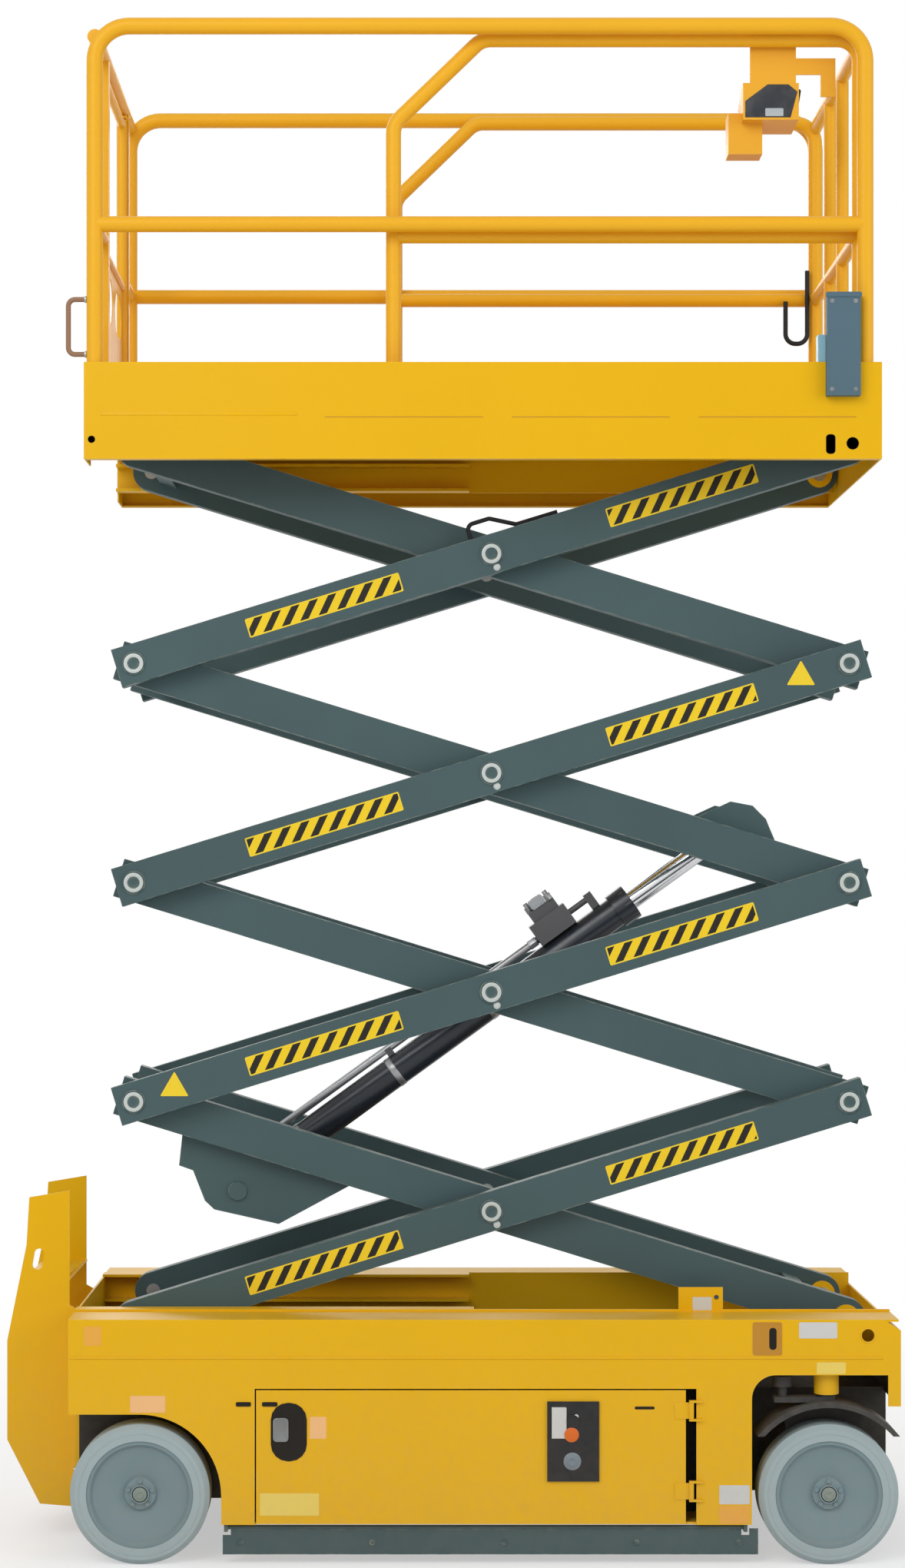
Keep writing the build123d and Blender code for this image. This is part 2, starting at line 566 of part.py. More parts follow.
with BuildPart() as cylinder_barrel:
    with BuildSketch(cylinder_plane(barrel_from)):
        Circle(barrel_r)
    extrude(amount=barrel_length - barrel_from)
    with BuildSketch(cylinder_plane(barrel_length - gland_length - 15.0)):
        Circle(barrel_r + 8.0)
    extrude(amount=gland_length + 15.0)
    with BuildSketch(cylinder_plane(barrel_from + 12.0)):
        Circle(barrel_r - barrel_wall)
    extrude(amount=barrel_length - gland_length - barrel_from - 12.0, mode=Mode.SUBTRACT)
    with BuildSketch(cylinder_plane(barrel_length - gland_length - 1.0)):
        Circle(rod_r + fit)
    extrude(amount=gland_length + 2.0, mode=Mode.SUBTRACT)
    rod_y(*low_pin, eye_r, (-eye_width / 2, eye_width / 2))
    rod_y(*low_pin, shaft_r + fit, (-60.0, 60.0), mode=Mode.SUBTRACT)
save(cylinder_barrel, "cylinder_barrel")

with BuildPart() as cylinder_rod:
    with BuildSketch(cylinder_plane(piston_at)):
        Circle(rod_r)
    extrude(amount=rest_length - piston_at)
    with BuildSketch(cylinder_plane(piston_at)):
        Circle(barrel_r - barrel_wall - fit)
    extrude(amount=piston_length)
    rod_y(*high_pin, eye_r - 8.0, (-eye_width / 2, eye_width / 2))
    rod_y(*high_pin, shaft_r, (-lug_in_y + 5.0, lug_in_y - 5.0))
save(cylinder_rod, "cylinder_rod")

# Valve block and the pipe along the barrel
valve_at = barrel_length - 285.0
valve_length = 120.0
pipe_from = 130.0
with BuildPart() as valve_block:
    with BuildSketch(cylinder_plane(valve_at)):
        with Locations((barrel_r + 33.3, 0)):
            Rectangle(66.0, 88.0)
    extrude(amount=valve_length)
    with BuildSketch(cylinder_plane(valve_at + 20.0)):
        with Locations((barrel_r + 82.0, -6.0)):
            Rectangle(34.0, 62.0)
    extrude(amount=86.0)
    with BuildSketch(cylinder_plane(pipe_from)):
        with Locations((barrel_r + 22.0, 0)):
            Circle(11.0)
    extrude(amount=valve_at - pipe_from)
    with BuildSketch(cylinder_plane(valve_at + valve_length)):
        with Locations((barrel_r + 33.3, 0)):
            Circle(9.0)
    extrude(amount=80.0)
    for foot_s, foot_length, foot_top in ((pipe_from, 30.0, 38.0), (pipe_from + 430.0, 20.0, 24.0),
                                          (barrel_length - 105.0, 24.0, 48.0)):
        with BuildSketch(cylinder_plane(foot_s)):
            with Locations((barrel_r + 0.3 + foot_top / 2, 0)):
                Rectangle(foot_top, 24.0)
        extrude(amount=foot_length)
save(valve_block, "valve_block")

# Platform deck: floor, side sheets with toe boards, stringers, tracks and ears
track_web_y = roller_y + roller_width / 2 + side_play
with BuildPart() as deck:
    block(deck_x, (-deck_half + 1.0, deck_half - 1.0), (floor_z - floor_t, floor_z))
    for side in (1, -1):
        block(deck_x, (side * (deck_half - sheet), side * deck_half), (skirt_low_z, toe_top_z))
        block(deck_x, (side * (deck_half - 30.0), side * deck_half), (skirt_low_z, skirt_low_z + sheet))
        block((deck_x[0], deck_x[0] + sheet), (side * (track_web_y + 6.0), side * deck_half),
              (skirt_low_z, floor_z))
        block(deck_x, (side * track_web_y, side * (track_web_y + plate)),
              (deck_pin_z - roller_r - track_play - track_flange, floor_z))
        for low in (-roller_r - track_play - track_flange, roller_r + track_play):
            block((deck_x[0], track_end_x), (side * (roller_y - roller_width / 2), side * track_web_y),
                  (deck_pin_z + low, deck_pin_z + low + track_flange))
        for ear in (outer_y - arm_width / 2 - 12.0, outer_y + arm_width / 2 + boss_proud + 2.0):
            with BuildSketch(side_plane(side * ear)):
                with BuildLine():
                    Polyline((base_pin[0] - 38.0, deck_pin_z), (base_pin[0] - 57.0, floor_z - 1.0),
                             (base_pin[0] + 57.0, floor_z - 1.0), (base_pin[0] + 38.0, deck_pin_z))
                    ThreePointArc((base_pin[0] + 38.0, deck_pin_z), (base_pin[0], deck_pin_z - 38.0),
                                  (base_pin[0] - 38.0, deck_pin_z))
                make_face()
                with Locations((base_pin[0], deck_pin_z)):
                    Circle(pin_r, mode=Mode.SUBTRACT)
            extrude(amount=-10.0 * side)
        for member in range(4):
            member_x = deck_x[0] + 387.0 + 500.0 * member
            block((member_x, member_x + 40.0), (side * (track_web_y + plate), side * (deck_half - sheet)),
                  (floor_z - 43.0, floor_z))
    block((deck_x[1] - sheet, deck_x[1]), (-deck_half, deck_half), (skirt_low_z, floor_z))
    block((deck_x[0], deck_x[0] + sheet), (-deck_half, deck_half), (floor_z - floor_t, floor_z + 20.0))
save(deck, "deck")

# Guard rails of the main deck
with BuildPart() as guard_rails:
    for side in (1, -1):
        with BuildLine() as hoop:
            FilletPolyline((rear_post_x, side * rail_y, floor_z), (rear_post_x, side * rail_y, rail_top_z),
                           (front_post_x, side * rail_y, rail_top_z), (front_post_x, side * rail_y, floor_z),
                           radius=rail_bend)
        with BuildSketch(Plane(origin=(rear_post_x, side * rail_y, floor_z), z_dir=(0, 0, 1))):
            Circle(rail_r)
        sweep(path=hoop.line)
        with BuildSketch(Plane(origin=(rear_post_x, side * rail_y, rail_mid_z), z_dir=(1, 0, 0))):
            Circle(rail_r - 1.0)
        extrude(amount=front_post_x - rear_post_x)
    rod_y(rear_post_x, rail_top_z - rail_bend * 0.3, rail_r - 2.0, (-rail_y, rail_y))
    for side in (1, -1):
        block((rear_post_x - 18.0, rear_post_x + 18.0),
              (side * (gate_post_y - 18.0), side * (gate_post_y + 18.0)),
              (floor_z, rail_top_z - rail_bend * 0.3))
        rod_y(rear_post_x, rail_mid_z, rail_r - 4.0, (side * gate_post_y, side * rail_y))
        block((rear_post_x - 3.0, rear_post_x + 1.0), (side * gate_post_y, side * rail_y), (floor_z, toe_top_z))
    # bearings of the gate's pins, and its catch
    for bearing_z in (gate_panel_z[0] - 11.0, gate_top_z + 18.0):
        block((rear_post_x - 15.0, rear_post_x + 15.0), (gate_hinge_y - 15.0, gate_post_y - 18.0),
              (bearing_z, bearing_z + 8.0))
        rod_z(rear_post_x, gate_hinge_y, gate_pin_r + fit, (bearing_z, bearing_z + 8.0), mode=Mode.SUBTRACT)
    block((rear_post_x - 12.0, rear_post_x + 12.0), (-gate_post_y + 18.0, -gate_half - 2.0), (3986.0, 4022.0))
save(guard_rails, "guard_rails")

# Entry gate between the two gate posts, hinged on the left one, opens inwards
with BuildPart() as entry_gate:
    with BuildSketch(Plane(origin=(rear_post_x - 1.0, 0, 0), x_dir=(0, 1, 0), z_dir=(1, 0, 0))):
        with Locations((0, (gate_panel_z[0] + gate_panel_z[1]) / 2)):
            Rectangle(2 * gate_half - 20.0, gate_panel_z[1] - gate_panel_z[0])
        for hole_y in (-128.0, 128.0):
            with Locations((hole_y, 3524.0)):
                SlotOverall(188.0, 126.0, mode=Mode.SUBTRACT)
    extrude(amount=3.0)
    for bar_z in (gate_panel_z[1] + 8.0, gate_top_z):
        rod_y(rear_post_x, bar_z, 12.0, (-gate_hinge_y, gate_hinge_y))
    for side in (1, -1):
        rod_z(rear_post_x, side * gate_hinge_y, gate_stile_r, (gate_panel_z[0], gate_top_z + 15.0))
    rod_z(rear_post_x, gate_hinge_y, gate_pin_r, (gate_panel_z[0] - 11.0, gate_top_z + 26.0))
save(entry_gate, "entry_gate")

# Grab handle beside the entry
with BuildPart() as grab_handle:
    with BuildLine() as grip:
        FilletPolyline((rear_post_x - rail_r - 0.1, -rail_y, 3450.0), (rear_post_x - 72.0, -rail_y, 3450.0),
                       (rear_post_x - 72.0, -rail_y, 3300.0), (rear_post_x - rail_r - 0.1, -rail_y, 3300.0),
                       radius=18.0)
    with BuildSketch(Plane(origin=(rear_post_x - rail_r - 0.1, -rail_y, 3450.0), z_dir=(-1, 0, 0))):
        Circle(7.0)
    sweep(path=grip.line)
save(grab_handle, "grab_handle")

# Roll-out extension: floor with toe boards
with BuildPart() as extension_deck:
    block((ext_post_x - 22.0, ext_front_x + ext_r + 0.3), (-ext_y - ext_r - 1.0, ext_y + ext_r + 1.0),
          (ext_floor_z, ext_floor_z + sheet))
    toe_y = ext_y + ext_r + 0.3
    for side in (1, -1):
        block((ext_post_x - 22.0, ext_front_x + ext_r + 0.3), (side * toe_y, side * (toe_y + sheet)),
              (ext_floor_z, toe_top_z - 4.0))
        block((ext_post_x, ext_front_x), (side * 300.0 - 20.0, side * 300.0 + 20.0),
              (floor_z + 0.3, ext_floor_z))
    block((ext_front_x + ext_r + 0.3, ext_front_x + ext_r + 0.3 + sheet), (-toe_y - sheet, toe_y + sheet),
          (ext_floor_z, toe_top_z - 4.0))
save(extension_deck, "extension_deck")

# Rails of the extension
with BuildPart() as extension_rails:
    for side in (1, -1):
        with BuildLine() as ext_hoop:
            FilletPolyline((ext_post_x, side * ext_y, ext_floor_z + sheet), (ext_post_x, side * ext_y, ext_knee_z),
                           (ext_knee_x, side * ext_y, ext_top_z), (ext_front_x, side * ext_y, ext_top_z),
                           (ext_front_x, side * ext_y, ext_floor_z + sheet), radius=60.0)
        with BuildSketch(Plane(origin=(ext_post_x, side * ext_y, ext_floor_z + sheet), z_dir=(0, 0, 1))):
            Circle(ext_r)
        sweep(path=ext_hoop.line)
        with BuildSketch(Plane(origin=(ext_post_x, side * ext_y, ext_mid_z), z_dir=(1, 0, 0))):
            Circle(ext_r - 1.0)
        extrude(amount=ext_front_x - ext_post_x)
    rod_y(ext_front_x, ext_top_z - 60.0 * 0.3, ext_r - 2.0, (-ext_y, ext_y))
    rod_y(ext_front_x, ext_mid_z, ext_r - 2.0, (-ext_y, ext_y))
    for side in (1, -1):
        rod_z(ext_front_x, side * ext_gate_y, ext_r - 3.0, (ext_floor_z + sheet, ext_top_z - 18.0))
save(extension_rails, "extension_rails")

# Platform control box: a hook plate over the extension's right top rail, with its stay, carries
# a housing whose panel slopes down towards the operator
control_y = -ext_y + ext_r + 0.3
hook_t = 6.0
hook_top_z = ext_top_z + ext_r + 0.3
housing_x = (ext_front_x - 318.0, ext_front_x - 164.0)
hook_x = (housing_x[0] + 19.0, housing_x[1] - 8.0)
housing_z = (3961.0, 4062.0)
housing_depth = 168.0
with BuildPart() as control_box:
    block(hook_x, (control_y, control_y + hook_t), (housing_z[1] - 20.0, hook_top_z + hook_t))
    block(hook_x, (control_y - ext_r - 20.0, control_y + hook_t), (hook_top_z, hook_top_z + hook_t))
    block((hook_x[1] - 8.0, hook_x[1] + 109.0), (control_y, control_y + hook_t), (4085.0, 4130.0))
    block((hook_x[1] + 68.0, hook_x[1] + 109.0), (control_y, control_y + hook_t), (4024.0, 4090.0))
    with BuildSketch(Plane(origin=(housing_x[0], 0, 0), x_dir=(0, 1, 0), z_dir=(1, 0, 0))):
        with BuildLine():
            Polyline((control_y, housing_z[1]), (control_y, housing_z[0]),
                     (control_y + housing_depth, housing_z[0]), (control_y + housing_depth, housing_z[0] + 42.0),
                     (control_y + 52.0, housing_z[1]), close=True)
        make_face()
    extrude(amount=housing_x[1] - housing_x[0])
    # box of the cable's socket under the housing
    block((housing_x[0] - 36.0, housing_x[0] + 58.0), (control_y + 44.0, control_y + 122.0),
          (housing_z[0] - 85.0, housing_z[0] + 1.0))
    block((housing_x[0] - 36.0, housing_x[0] + 1.0), (control_y + 44.0, control_y + 122.0),
          (housing_z[0] - 30.0, housing_z[0] + 28.0))
save(control_box, "control_box")

# Document box on the front corner of the right toe board
pocket_x = (deck_x[1] - 154.0, deck_x[1] - 62.0)
with BuildPart() as document_box:
    block((pocket_x[0], pocket_x[1]), (-deck_half - 0.3, -deck_half - 29.0), (3180.0, 3461.0))
    block((pocket_x[0] + 8.0, pocket_x[1] - 8.0), (-deck_half - 4.0, -deck_half - 26.0), (3200.0, 3470.0),
          mode=Mode.SUBTRACT)
save(document_box, "document_box")

# Ground control box, let into the right door
with BuildPart() as ground_control_box:
    block((door_x[1] - 377.0, door_x[1] - 236.0), (-skin_y - 0.3, -skin_y - 6.3), (228.0, 445.0))
    rod_y(door_x[1] - 307.0, 392.0, 17.0, (-skin_y - 6.3, -skin_y - 9.5))
save(ground_control_box, "ground_control_box")

# Outlet box inside the right toe board
with BuildPart() as outlet_box:
    block((deck_x[1] - 174.0, deck_x[1] - 128.0), (-deck_half + sheet + 0.3, -deck_half + sheet + 42.0),
          (3210.0, 3350.0))
save(outlet_box, "outlet_box")

# Cable that hangs in a loop beside the extension's left middle rail
cable_r = 7.0
cable_y = ext_y - ext_r + 1.0 - cable_r - 0.3
with BuildPart() as control_cable:
    with BuildLine() as loop:
        FilletPolyline((1112.0, cable_y, 3720.0), (1112.0, cable_y, 3498.0), (1046.0, cable_y, 3498.0),
                       (1046.0, cable_y, 3626.0), radius=30.0)
    with BuildSketch(Plane(origin=(1112.0, cable_y, 3720.0), z_dir=(0, 0, -1))):
        Circle(cable_r)
    sweep(path=loop.line)
save(control_cable, "control_cable")

# Hose on top of the right outer arm of the highest stage
hose_r = 6.0
hose_points = [arm_point(stage_count - 1, 1, t, arm_depth / 2 + rise)
               for t, rise in ((-42.0, 0.3), (-42.0, 44.0), (24.0, 44.0), (92.0, hose_r + 0.3),
                               (212.0, hose_r + 0.3))]
with BuildPart() as arm_hose:
    with BuildLine() as bend:
        FilletPolyline(*[(x, -outer_y, z) for x, z in hose_points], radius=18.0)
    hose_start = Plane(origin=(hose_points[0][0], -outer_y, hose_points[0][1]),
                       z_dir=(-sin(radians(rest_angle)), 0, cos(radians(rest_angle))))
    with BuildSketch(hose_start):
        Circle(hose_r)
    sweep(path=bend.line)
save(arm_hose, "arm_hose")
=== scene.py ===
from functools import partial
from math import asin, cos, pi, radians, sin
import bpy
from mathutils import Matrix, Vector


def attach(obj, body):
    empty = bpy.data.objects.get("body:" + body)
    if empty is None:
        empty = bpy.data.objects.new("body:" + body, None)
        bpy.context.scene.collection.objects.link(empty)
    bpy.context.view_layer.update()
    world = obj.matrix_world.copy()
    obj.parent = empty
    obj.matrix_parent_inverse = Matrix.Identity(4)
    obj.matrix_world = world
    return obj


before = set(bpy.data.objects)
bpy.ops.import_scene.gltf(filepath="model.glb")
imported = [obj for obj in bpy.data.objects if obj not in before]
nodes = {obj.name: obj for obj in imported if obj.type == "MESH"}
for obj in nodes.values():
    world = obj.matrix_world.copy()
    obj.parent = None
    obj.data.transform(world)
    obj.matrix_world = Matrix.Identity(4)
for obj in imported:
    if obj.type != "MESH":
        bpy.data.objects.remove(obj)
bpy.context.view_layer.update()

# Camera: level, 1.85 m above the floor and 8.3 m from the lift's right side, a long lens
# whose frame is shifted so that the whole height of the raised lift is in view.
eye_place = (-0.0841, -8.865, 1.852)
eye_lens = 70.08
picture_height = 2040.0
picture_shift = (49.0, 130.0)  # in the same pixels as the picture's height
camera_data = bpy.data.cameras.new("camera")
camera = bpy.data.objects.new("camera", camera_data)
bpy.context.scene.collection.objects.link(camera)
camera.location = eye_place
camera.rotation_euler = (radians(90.0), 0.0, 0.0)
camera_data.sensor_width = 36.0
camera_data.lens = eye_lens
camera_data.shift_x = picture_shift[0] / picture_height
camera_data.shift_y = picture_shift[1] / picture_height
camera_data.clip_start = 0.05
camera_data.clip_end = 100.0
bpy.context.scene.camera = camera
bpy.context.scene.view_settings.view_transform = "Standard"

# Studio: a pale floor and a white backdrop that only the camera, gloss and glass see at full
# strength, with a broad key lamp from the upper left and softer ones from the right and behind.
white = (1.0, 1.0, 1.0, 1.0)
floor_grey = (0.93, 0.93, 0.93, 1.0)
glow_from, glow_full, glow_least = 1.5, 5.0, 0.5  # the camera sees the floor fade to plain white
sky_strength = 0.58
lamp_target = Vector((0.0, 0.0, 2.1))
bpy.ops.object.select_all(action="DESELECT")
bpy.ops.mesh.primitive_plane_add(size=60.0, location=(0.0, 0.0, -0.0005))
floor = bpy.context.object
floor.name = "studio_floor"
floor_finish = bpy.data.materials.new("studio_floor")
floor_finish.use_nodes = True
floor_tree = floor_finish.node_tree
floor_paint = floor_tree.nodes["Principled BSDF"]
floor_paint.inputs["Base Color"].default_value = floor_grey
floor_paint.inputs["Roughness"].default_value = 0.9
floor.data.materials.append(floor_finish)
floor_glow = floor_tree.nodes.new("ShaderNodeEmission")
floor_glow.inputs["Color"].default_value = white
floor_glow.inputs["Strength"].default_value = 1.0
floor_seen = floor_tree.nodes.new("ShaderNodeLightPath")
floor_place = floor_tree.nodes.new("ShaderNodeTexCoord")
floor_reach = floor_tree.nodes.new("ShaderNodeVectorMath")
floor_reach.operation = "LENGTH"
floor_fade = floor_tree.nodes.new("ShaderNodeMapRange")
for socket_name, value in (("From Min", glow_from), ("From Max", glow_full),
                           ("To Min", glow_least), ("To Max", 1.0)):
    floor_fade.inputs[socket_name].default_value = value
floor_share = floor_tree.nodes.new("ShaderNodeMath")
floor_share.operation = "MULTIPLY"
floor_mix = floor_tree.nodes.new("ShaderNodeMixShader")
for start, end in (
        (floor_place.outputs["Object"], floor_reach.inputs[0]),
        (floor_reach.outputs["Value"], floor_fade.inputs["Value"]),
        (floor_fade.outputs["Result"], floor_share.inputs[0]),
        (floor_seen.outputs["Is Camera Ray"], floor_share.inputs[1]),
        (floor_share.outputs["Value"], floor_mix.inputs[0]),
        (floor_paint.outputs["BSDF"], floor_mix.inputs[1]),
        (floor_glow.outputs["Emission"], floor_mix.inputs[2]),
        (floor_mix.outputs["Shader"], floor_tree.nodes["Material Output"].inputs["Surface"])):
    floor_tree.links.new(start, end)
world = bpy.data.worlds.new("studio")
bpy.context.scene.world = world
world.use_nodes = True
sky = world.node_tree
sky_light = sky.nodes["Background"]
sky_light.inputs["Color"].default_value = white
sky_light.inputs["Strength"].default_value = sky_strength
sky_white = sky.nodes.new("ShaderNodeBackground")
sky_white.inputs["Color"].default_value = white
sky_white.inputs["Strength"].default_value = 1.0
sky_path = sky.nodes.new("ShaderNodeLightPath")
sky_seen = sky.nodes.new("ShaderNodeMath")
sky_any = sky.nodes.new("ShaderNodeMath")
for choice in (sky_seen, sky_any):
    choice.operation = "MAXIMUM"
sky_mix = sky.nodes.new("ShaderNodeMixShader")
for start, end in (
        (sky_path.outputs["Is Camera Ray"], sky_seen.inputs[0]),
        (sky_path.outputs["Is Glossy Ray"], sky_seen.inputs[1]),
        (sky_seen.outputs["Value"], sky_any.inputs[0]),
        (sky_path.outputs["Is Transmission Ray"], sky_any.inputs[1]),
        (sky_any.outputs["Value"], sky_mix.inputs[0]),
        (sky_light.outputs["Background"], sky_mix.inputs[1]),
        (sky_white.outputs["Background"], sky_mix.inputs[2]),
        (sky_mix.outputs["Shader"], sky.nodes["World Output"].inputs["Surface"])):
    sky.links.new(start, end)
for lamp_name, lamp_place, lamp_size, lamp_power in (
        ("key_lamp", (-3.5, -7.5, 7.0), 5.0, 300.0),
        ("right_lamp", (6.5, -5.0, 4.5), 4.0, 120.0),
        ("back_lamp", (-2.0, 7.5, 6.0), 5.0, 200.0)):
    lamp_data = bpy.data.lights.new(lamp_name, "AREA")
    lamp_data.size = lamp_size
    lamp_data.energy = lamp_power
    lamp = bpy.data.objects.new(lamp_name, lamp_data)
    bpy.context.scene.collection.objects.link(lamp)
    lamp.location = lamp_place
    lamp.rotation_mode = "QUATERNION"
    lamp.rotation_quaternion = (lamp_target - Vector(lamp_place)).to_track_quat("-Z", "Y")


# Chassis: glossy yellow enamel on folded steel sheet, with the slight orange peel of a sprayed
# coat, pale edges that are partly worn paint and partly a painted highlight, pale dust on what faces up
# that also paints a highlight on the top faces, and road dirt low down.
def new_group(name, inputs, outputs):
    """An empty node group with its sockets, and its input and output nodes."""
    group = bpy.data.node_groups.new(name, "ShaderNodeTree")
    for socket_name, kind, value in inputs:
        socket = group.interface.new_socket(socket_name, in_out="INPUT", socket_type=kind)
        socket.default_value = value
    for socket_name, kind in outputs:
        group.interface.new_socket(socket_name, in_out="OUTPUT", socket_type=kind)
    return group, group.nodes.new("NodeGroupInput"), group.nodes.new("NodeGroupOutput")


def tree_math(tree, operation, *values):
    """A sum inside a node tree, of sockets or plain numbers."""
    node = tree.nodes.new("ShaderNodeMath")
    node.operation = operation
    for socket, value in zip(node.inputs, values):
        if isinstance(value, float):
            socket.default_value = value
        else:
            tree.links.new(value, socket)
    return node.outputs["Value"]


def tree_blend(tree, mask, first, second):
    """Two colours mixed by a mask, each a socket or a plain colour."""
    node = tree.nodes.new("ShaderNodeMix")
    node.data_type = "RGBA"
    tree.links.new(mask, node.inputs["Factor"])
    for socket_name, value in (("A", first), ("B", second)):
        if isinstance(value, tuple):
            node.inputs[socket_name].default_value = (*value, 1.0)
        else:
            tree.links.new(value, node.inputs[socket_name])
    return node.outputs["Result"]


coat, coat_in, coat_out = new_group(
    "sprayed_coat",
    (("Paint", "NodeSocketColor", (0.8, 0.5, 0.0, 1.0)), ("Worn", "NodeSocketColor", (0.9, 0.7, 0.2, 1.0)),
     ("Fade", "NodeSocketFloat", 0.08), ("Edge Highlight And Wear Amount", "NodeSocketFloat", 0.35), ("Dust", "NodeSocketFloat", 0.25),
     ("Top Dust And Highlight", "NodeSocketFloat", 0.1), ("Gloss", "NodeSocketFloat", 0.35)),
    (("Color", "NodeSocketColor"), ("Roughness", "NodeSocketFloat"), ("Height", "NodeSocketFloat")))
coat_math = partial(tree_math, coat)
coat_blend = partial(tree_blend, coat)
coat_place = coat.nodes.new("ShaderNodeTexCoord")


def coat_range(value, low, high):
    """A mask that rises from 0 to 1 between two values."""
    node = coat.nodes.new("ShaderNodeMapRange")
    node.inputs["From Min"].default_value = low
    node.inputs["From Max"].default_value = high
    coat.links.new(value, node.inputs["Value"])
    return node.outputs["Result"]


def coat_noise(scale, detail):
    """Cloudy noise in the coat, in the frame's metres."""
    node = coat.nodes.new("ShaderNodeTexNoise")
    node.inputs["Scale"].default_value = scale
    node.inputs["Detail"].default_value = detail
    coat.links.new(coat_place.outputs["Object"], node.inputs["Vector"])
    return node.outputs["Fac"]


coat_cloud = coat_noise(2.3, 3.0)
coat_peel = coat_noise(260.0, 1.0)
coat_scuff = coat_noise(34.0, 6.0)
edge_radius = 0.0035
dirt_top_z = 0.75
top_dust_and_highlight_colour = (0.52, 0.47, 0.33)
dirt_colour = (0.34, 0.29, 0.22)
# brighter and darker clouds in the colour
coat_tone = coat.nodes.new("ShaderNodeHueSaturation")
coat.links.new(coat_in.outputs["Paint"], coat_tone.inputs["Color"])
coat_swing = coat_math("SUBTRACT", coat_cloud, 0.5)
coat.links.new(coat_math("MULTIPLY_ADD", coat_swing, coat_in.outputs["Fade"], 1.0), coat_tone.inputs["Value"])
# pale edges, partly worn paint and partly a painted highlight, found where a rounded normal leaves the true one
coat_round = coat.nodes.new("ShaderNodeBevel")
coat_round.samples = 4
coat_round.inputs["Radius"].default_value = edge_radius
coat_true = coat.nodes.new("ShaderNodeNewGeometry")
coat_dot = coat.nodes.new("ShaderNodeVectorMath")
coat_dot.operation = "DOT_PRODUCT"
coat.links.new(coat_round.outputs["Normal"], coat_dot.inputs[0])
coat.links.new(coat_true.outputs["Normal"], coat_dot.inputs[1])
coat_edge_highlight_and_wear = coat_math("MULTIPLY", coat_range(coat_dot.outputs["Value"], 0.995, 0.82),
                     coat_range(coat_scuff, 0.40, 0.62))
coat_edge_lit_and_worn = coat_blend(coat_math("MULTIPLY", coat_edge_highlight_and_wear, coat_in.outputs["Edge Highlight And Wear Amount"]), coat_tone.outputs["Color"],
                       coat_in.outputs["Worn"])
# dirt that thickens towards the floor, and fine pale dust on all that faces up, which also paints a highlight
# on the top faces
coat_height = coat.nodes.new("ShaderNodeSeparateXYZ")
coat.links.new(coat_place.outputs["Object"], coat_height.inputs["Vector"])
coat_low = coat_math("MULTIPLY", coat_range(coat_height.outputs["Z"], dirt_top_z, 0.0), coat_scuff)
coat_dirt = coat_math("MULTIPLY", coat_low, coat_in.outputs["Dust"])
coat_faces = coat.nodes.new("ShaderNodeSeparateXYZ")
coat.links.new(coat_true.outputs["Normal"], coat_faces.inputs["Vector"])
coat_top_dust_and_highlight = coat_math("MULTIPLY", coat_range(coat_faces.outputs["Z"], 0.55, 0.95), coat_in.outputs["Top Dust And Highlight"])
coat_color = coat_blend(coat_dirt, coat_blend(coat_top_dust_and_highlight, coat_edge_lit_and_worn, top_dust_and_highlight_colour), dirt_colour)
coat.links.new(coat_color, coat_out.inputs["Color"])
# scuffs and dirt dull the gloss
coat_dull = coat_math("MULTIPLY_ADD", coat_scuff, 0.16, coat_in.outputs["Gloss"])
coat.links.new(coat_math("MULTIPLY_ADD", coat_dirt, 0.5, coat_dull), coat_out.inputs["Roughness"])
coat.links.new(coat_peel, coat_out.inputs["Height"])
metal_specular = 0.5
peel_depth = 0.0006


# The pale edge colour and its strength set the edges, partly worn paint and partly a painted highlight; the
# settled dust on upward faces also paints a highlight on the top faces.
def sprayed(name, paint, edge_lit_worn, fade=0.08, edge=0.35, dust=0.25, settled=0.1, gloss=0.3, peel=0.05,
            metallic=0.0, shine=0.2):
    """A material of the sprayed coat with its own colours and strengths."""
    finish = bpy.data.materials.new(name)
    finish.use_nodes = True
    tree = finish.node_tree
    shader = tree.nodes["Principled BSDF"]
    layer = tree.nodes.new("ShaderNodeGroup")
    layer.node_tree = coat
    layer.inputs["Paint"].default_value = (*paint, 1.0)
    layer.inputs["Worn"].default_value = (*edge_lit_worn, 1.0)
    for socket_name, value in (("Fade", fade), ("Edge Highlight And Wear Amount", edge), ("Dust", dust), ("Top Dust And Highlight", settled),
                               ("Gloss", gloss)):
        layer.inputs[socket_name].default_value = value
    tree.links.new(layer.outputs["Color"], shader.inputs["Base Color"])
    tree.links.new(layer.outputs["Roughness"], shader.inputs["Roughness"])
    relief = tree.nodes.new("ShaderNodeBump")
    relief.inputs["Strength"].default_value = peel
    relief.inputs["Distance"].default_value = peel_depth
    tree.links.new(layer.outputs["Height"], relief.inputs["Height"])
    tree.links.new(relief.outputs["Normal"], shader.inputs["Normal"])
    shader.inputs["Metallic"].default_value = metallic
    shader.inputs["Specular IOR Level"].default_value = metal_specular if metallic > 0.5 else shine
    return finish


def coat_node(node_name, finish):
    """Gives a CAD node its finish."""
    node = nodes[node_name]
    node.data.materials.clear()
    node.data.materials.append(finish)


def blank(name, size, place, turn=(0.0, 0.0, 0.0)):
    """A rectangular blank cut to its size and laid in its place."""
    bpy.ops.object.select_all(action="DESELECT")
    bpy.ops.mesh.primitive_cube_add(size=1.0, location=place, rotation=turn)
    piece = bpy.context.object
    piece.name = name
    piece.data.name = name
    piece.scale = size
    bpy.ops.object.transform_apply(location=False, rotation=False, scale=True)
    return piece


def round_bar(name, radius, length, place, turn=(pi / 2, 0.0, 0.0), sides=32):
    """A round blank, along Y unless it is turned, with its own z towards -Y."""
    bpy.ops.object.select_all(action="DESELECT")
    bpy.ops.mesh.primitive_cylinder_add(vertices=sides, radius=radius, depth=length, location=place,
                                        rotation=turn)
    piece = bpy.context.object
    piece.name = name
    piece.data.name = name
    return piece


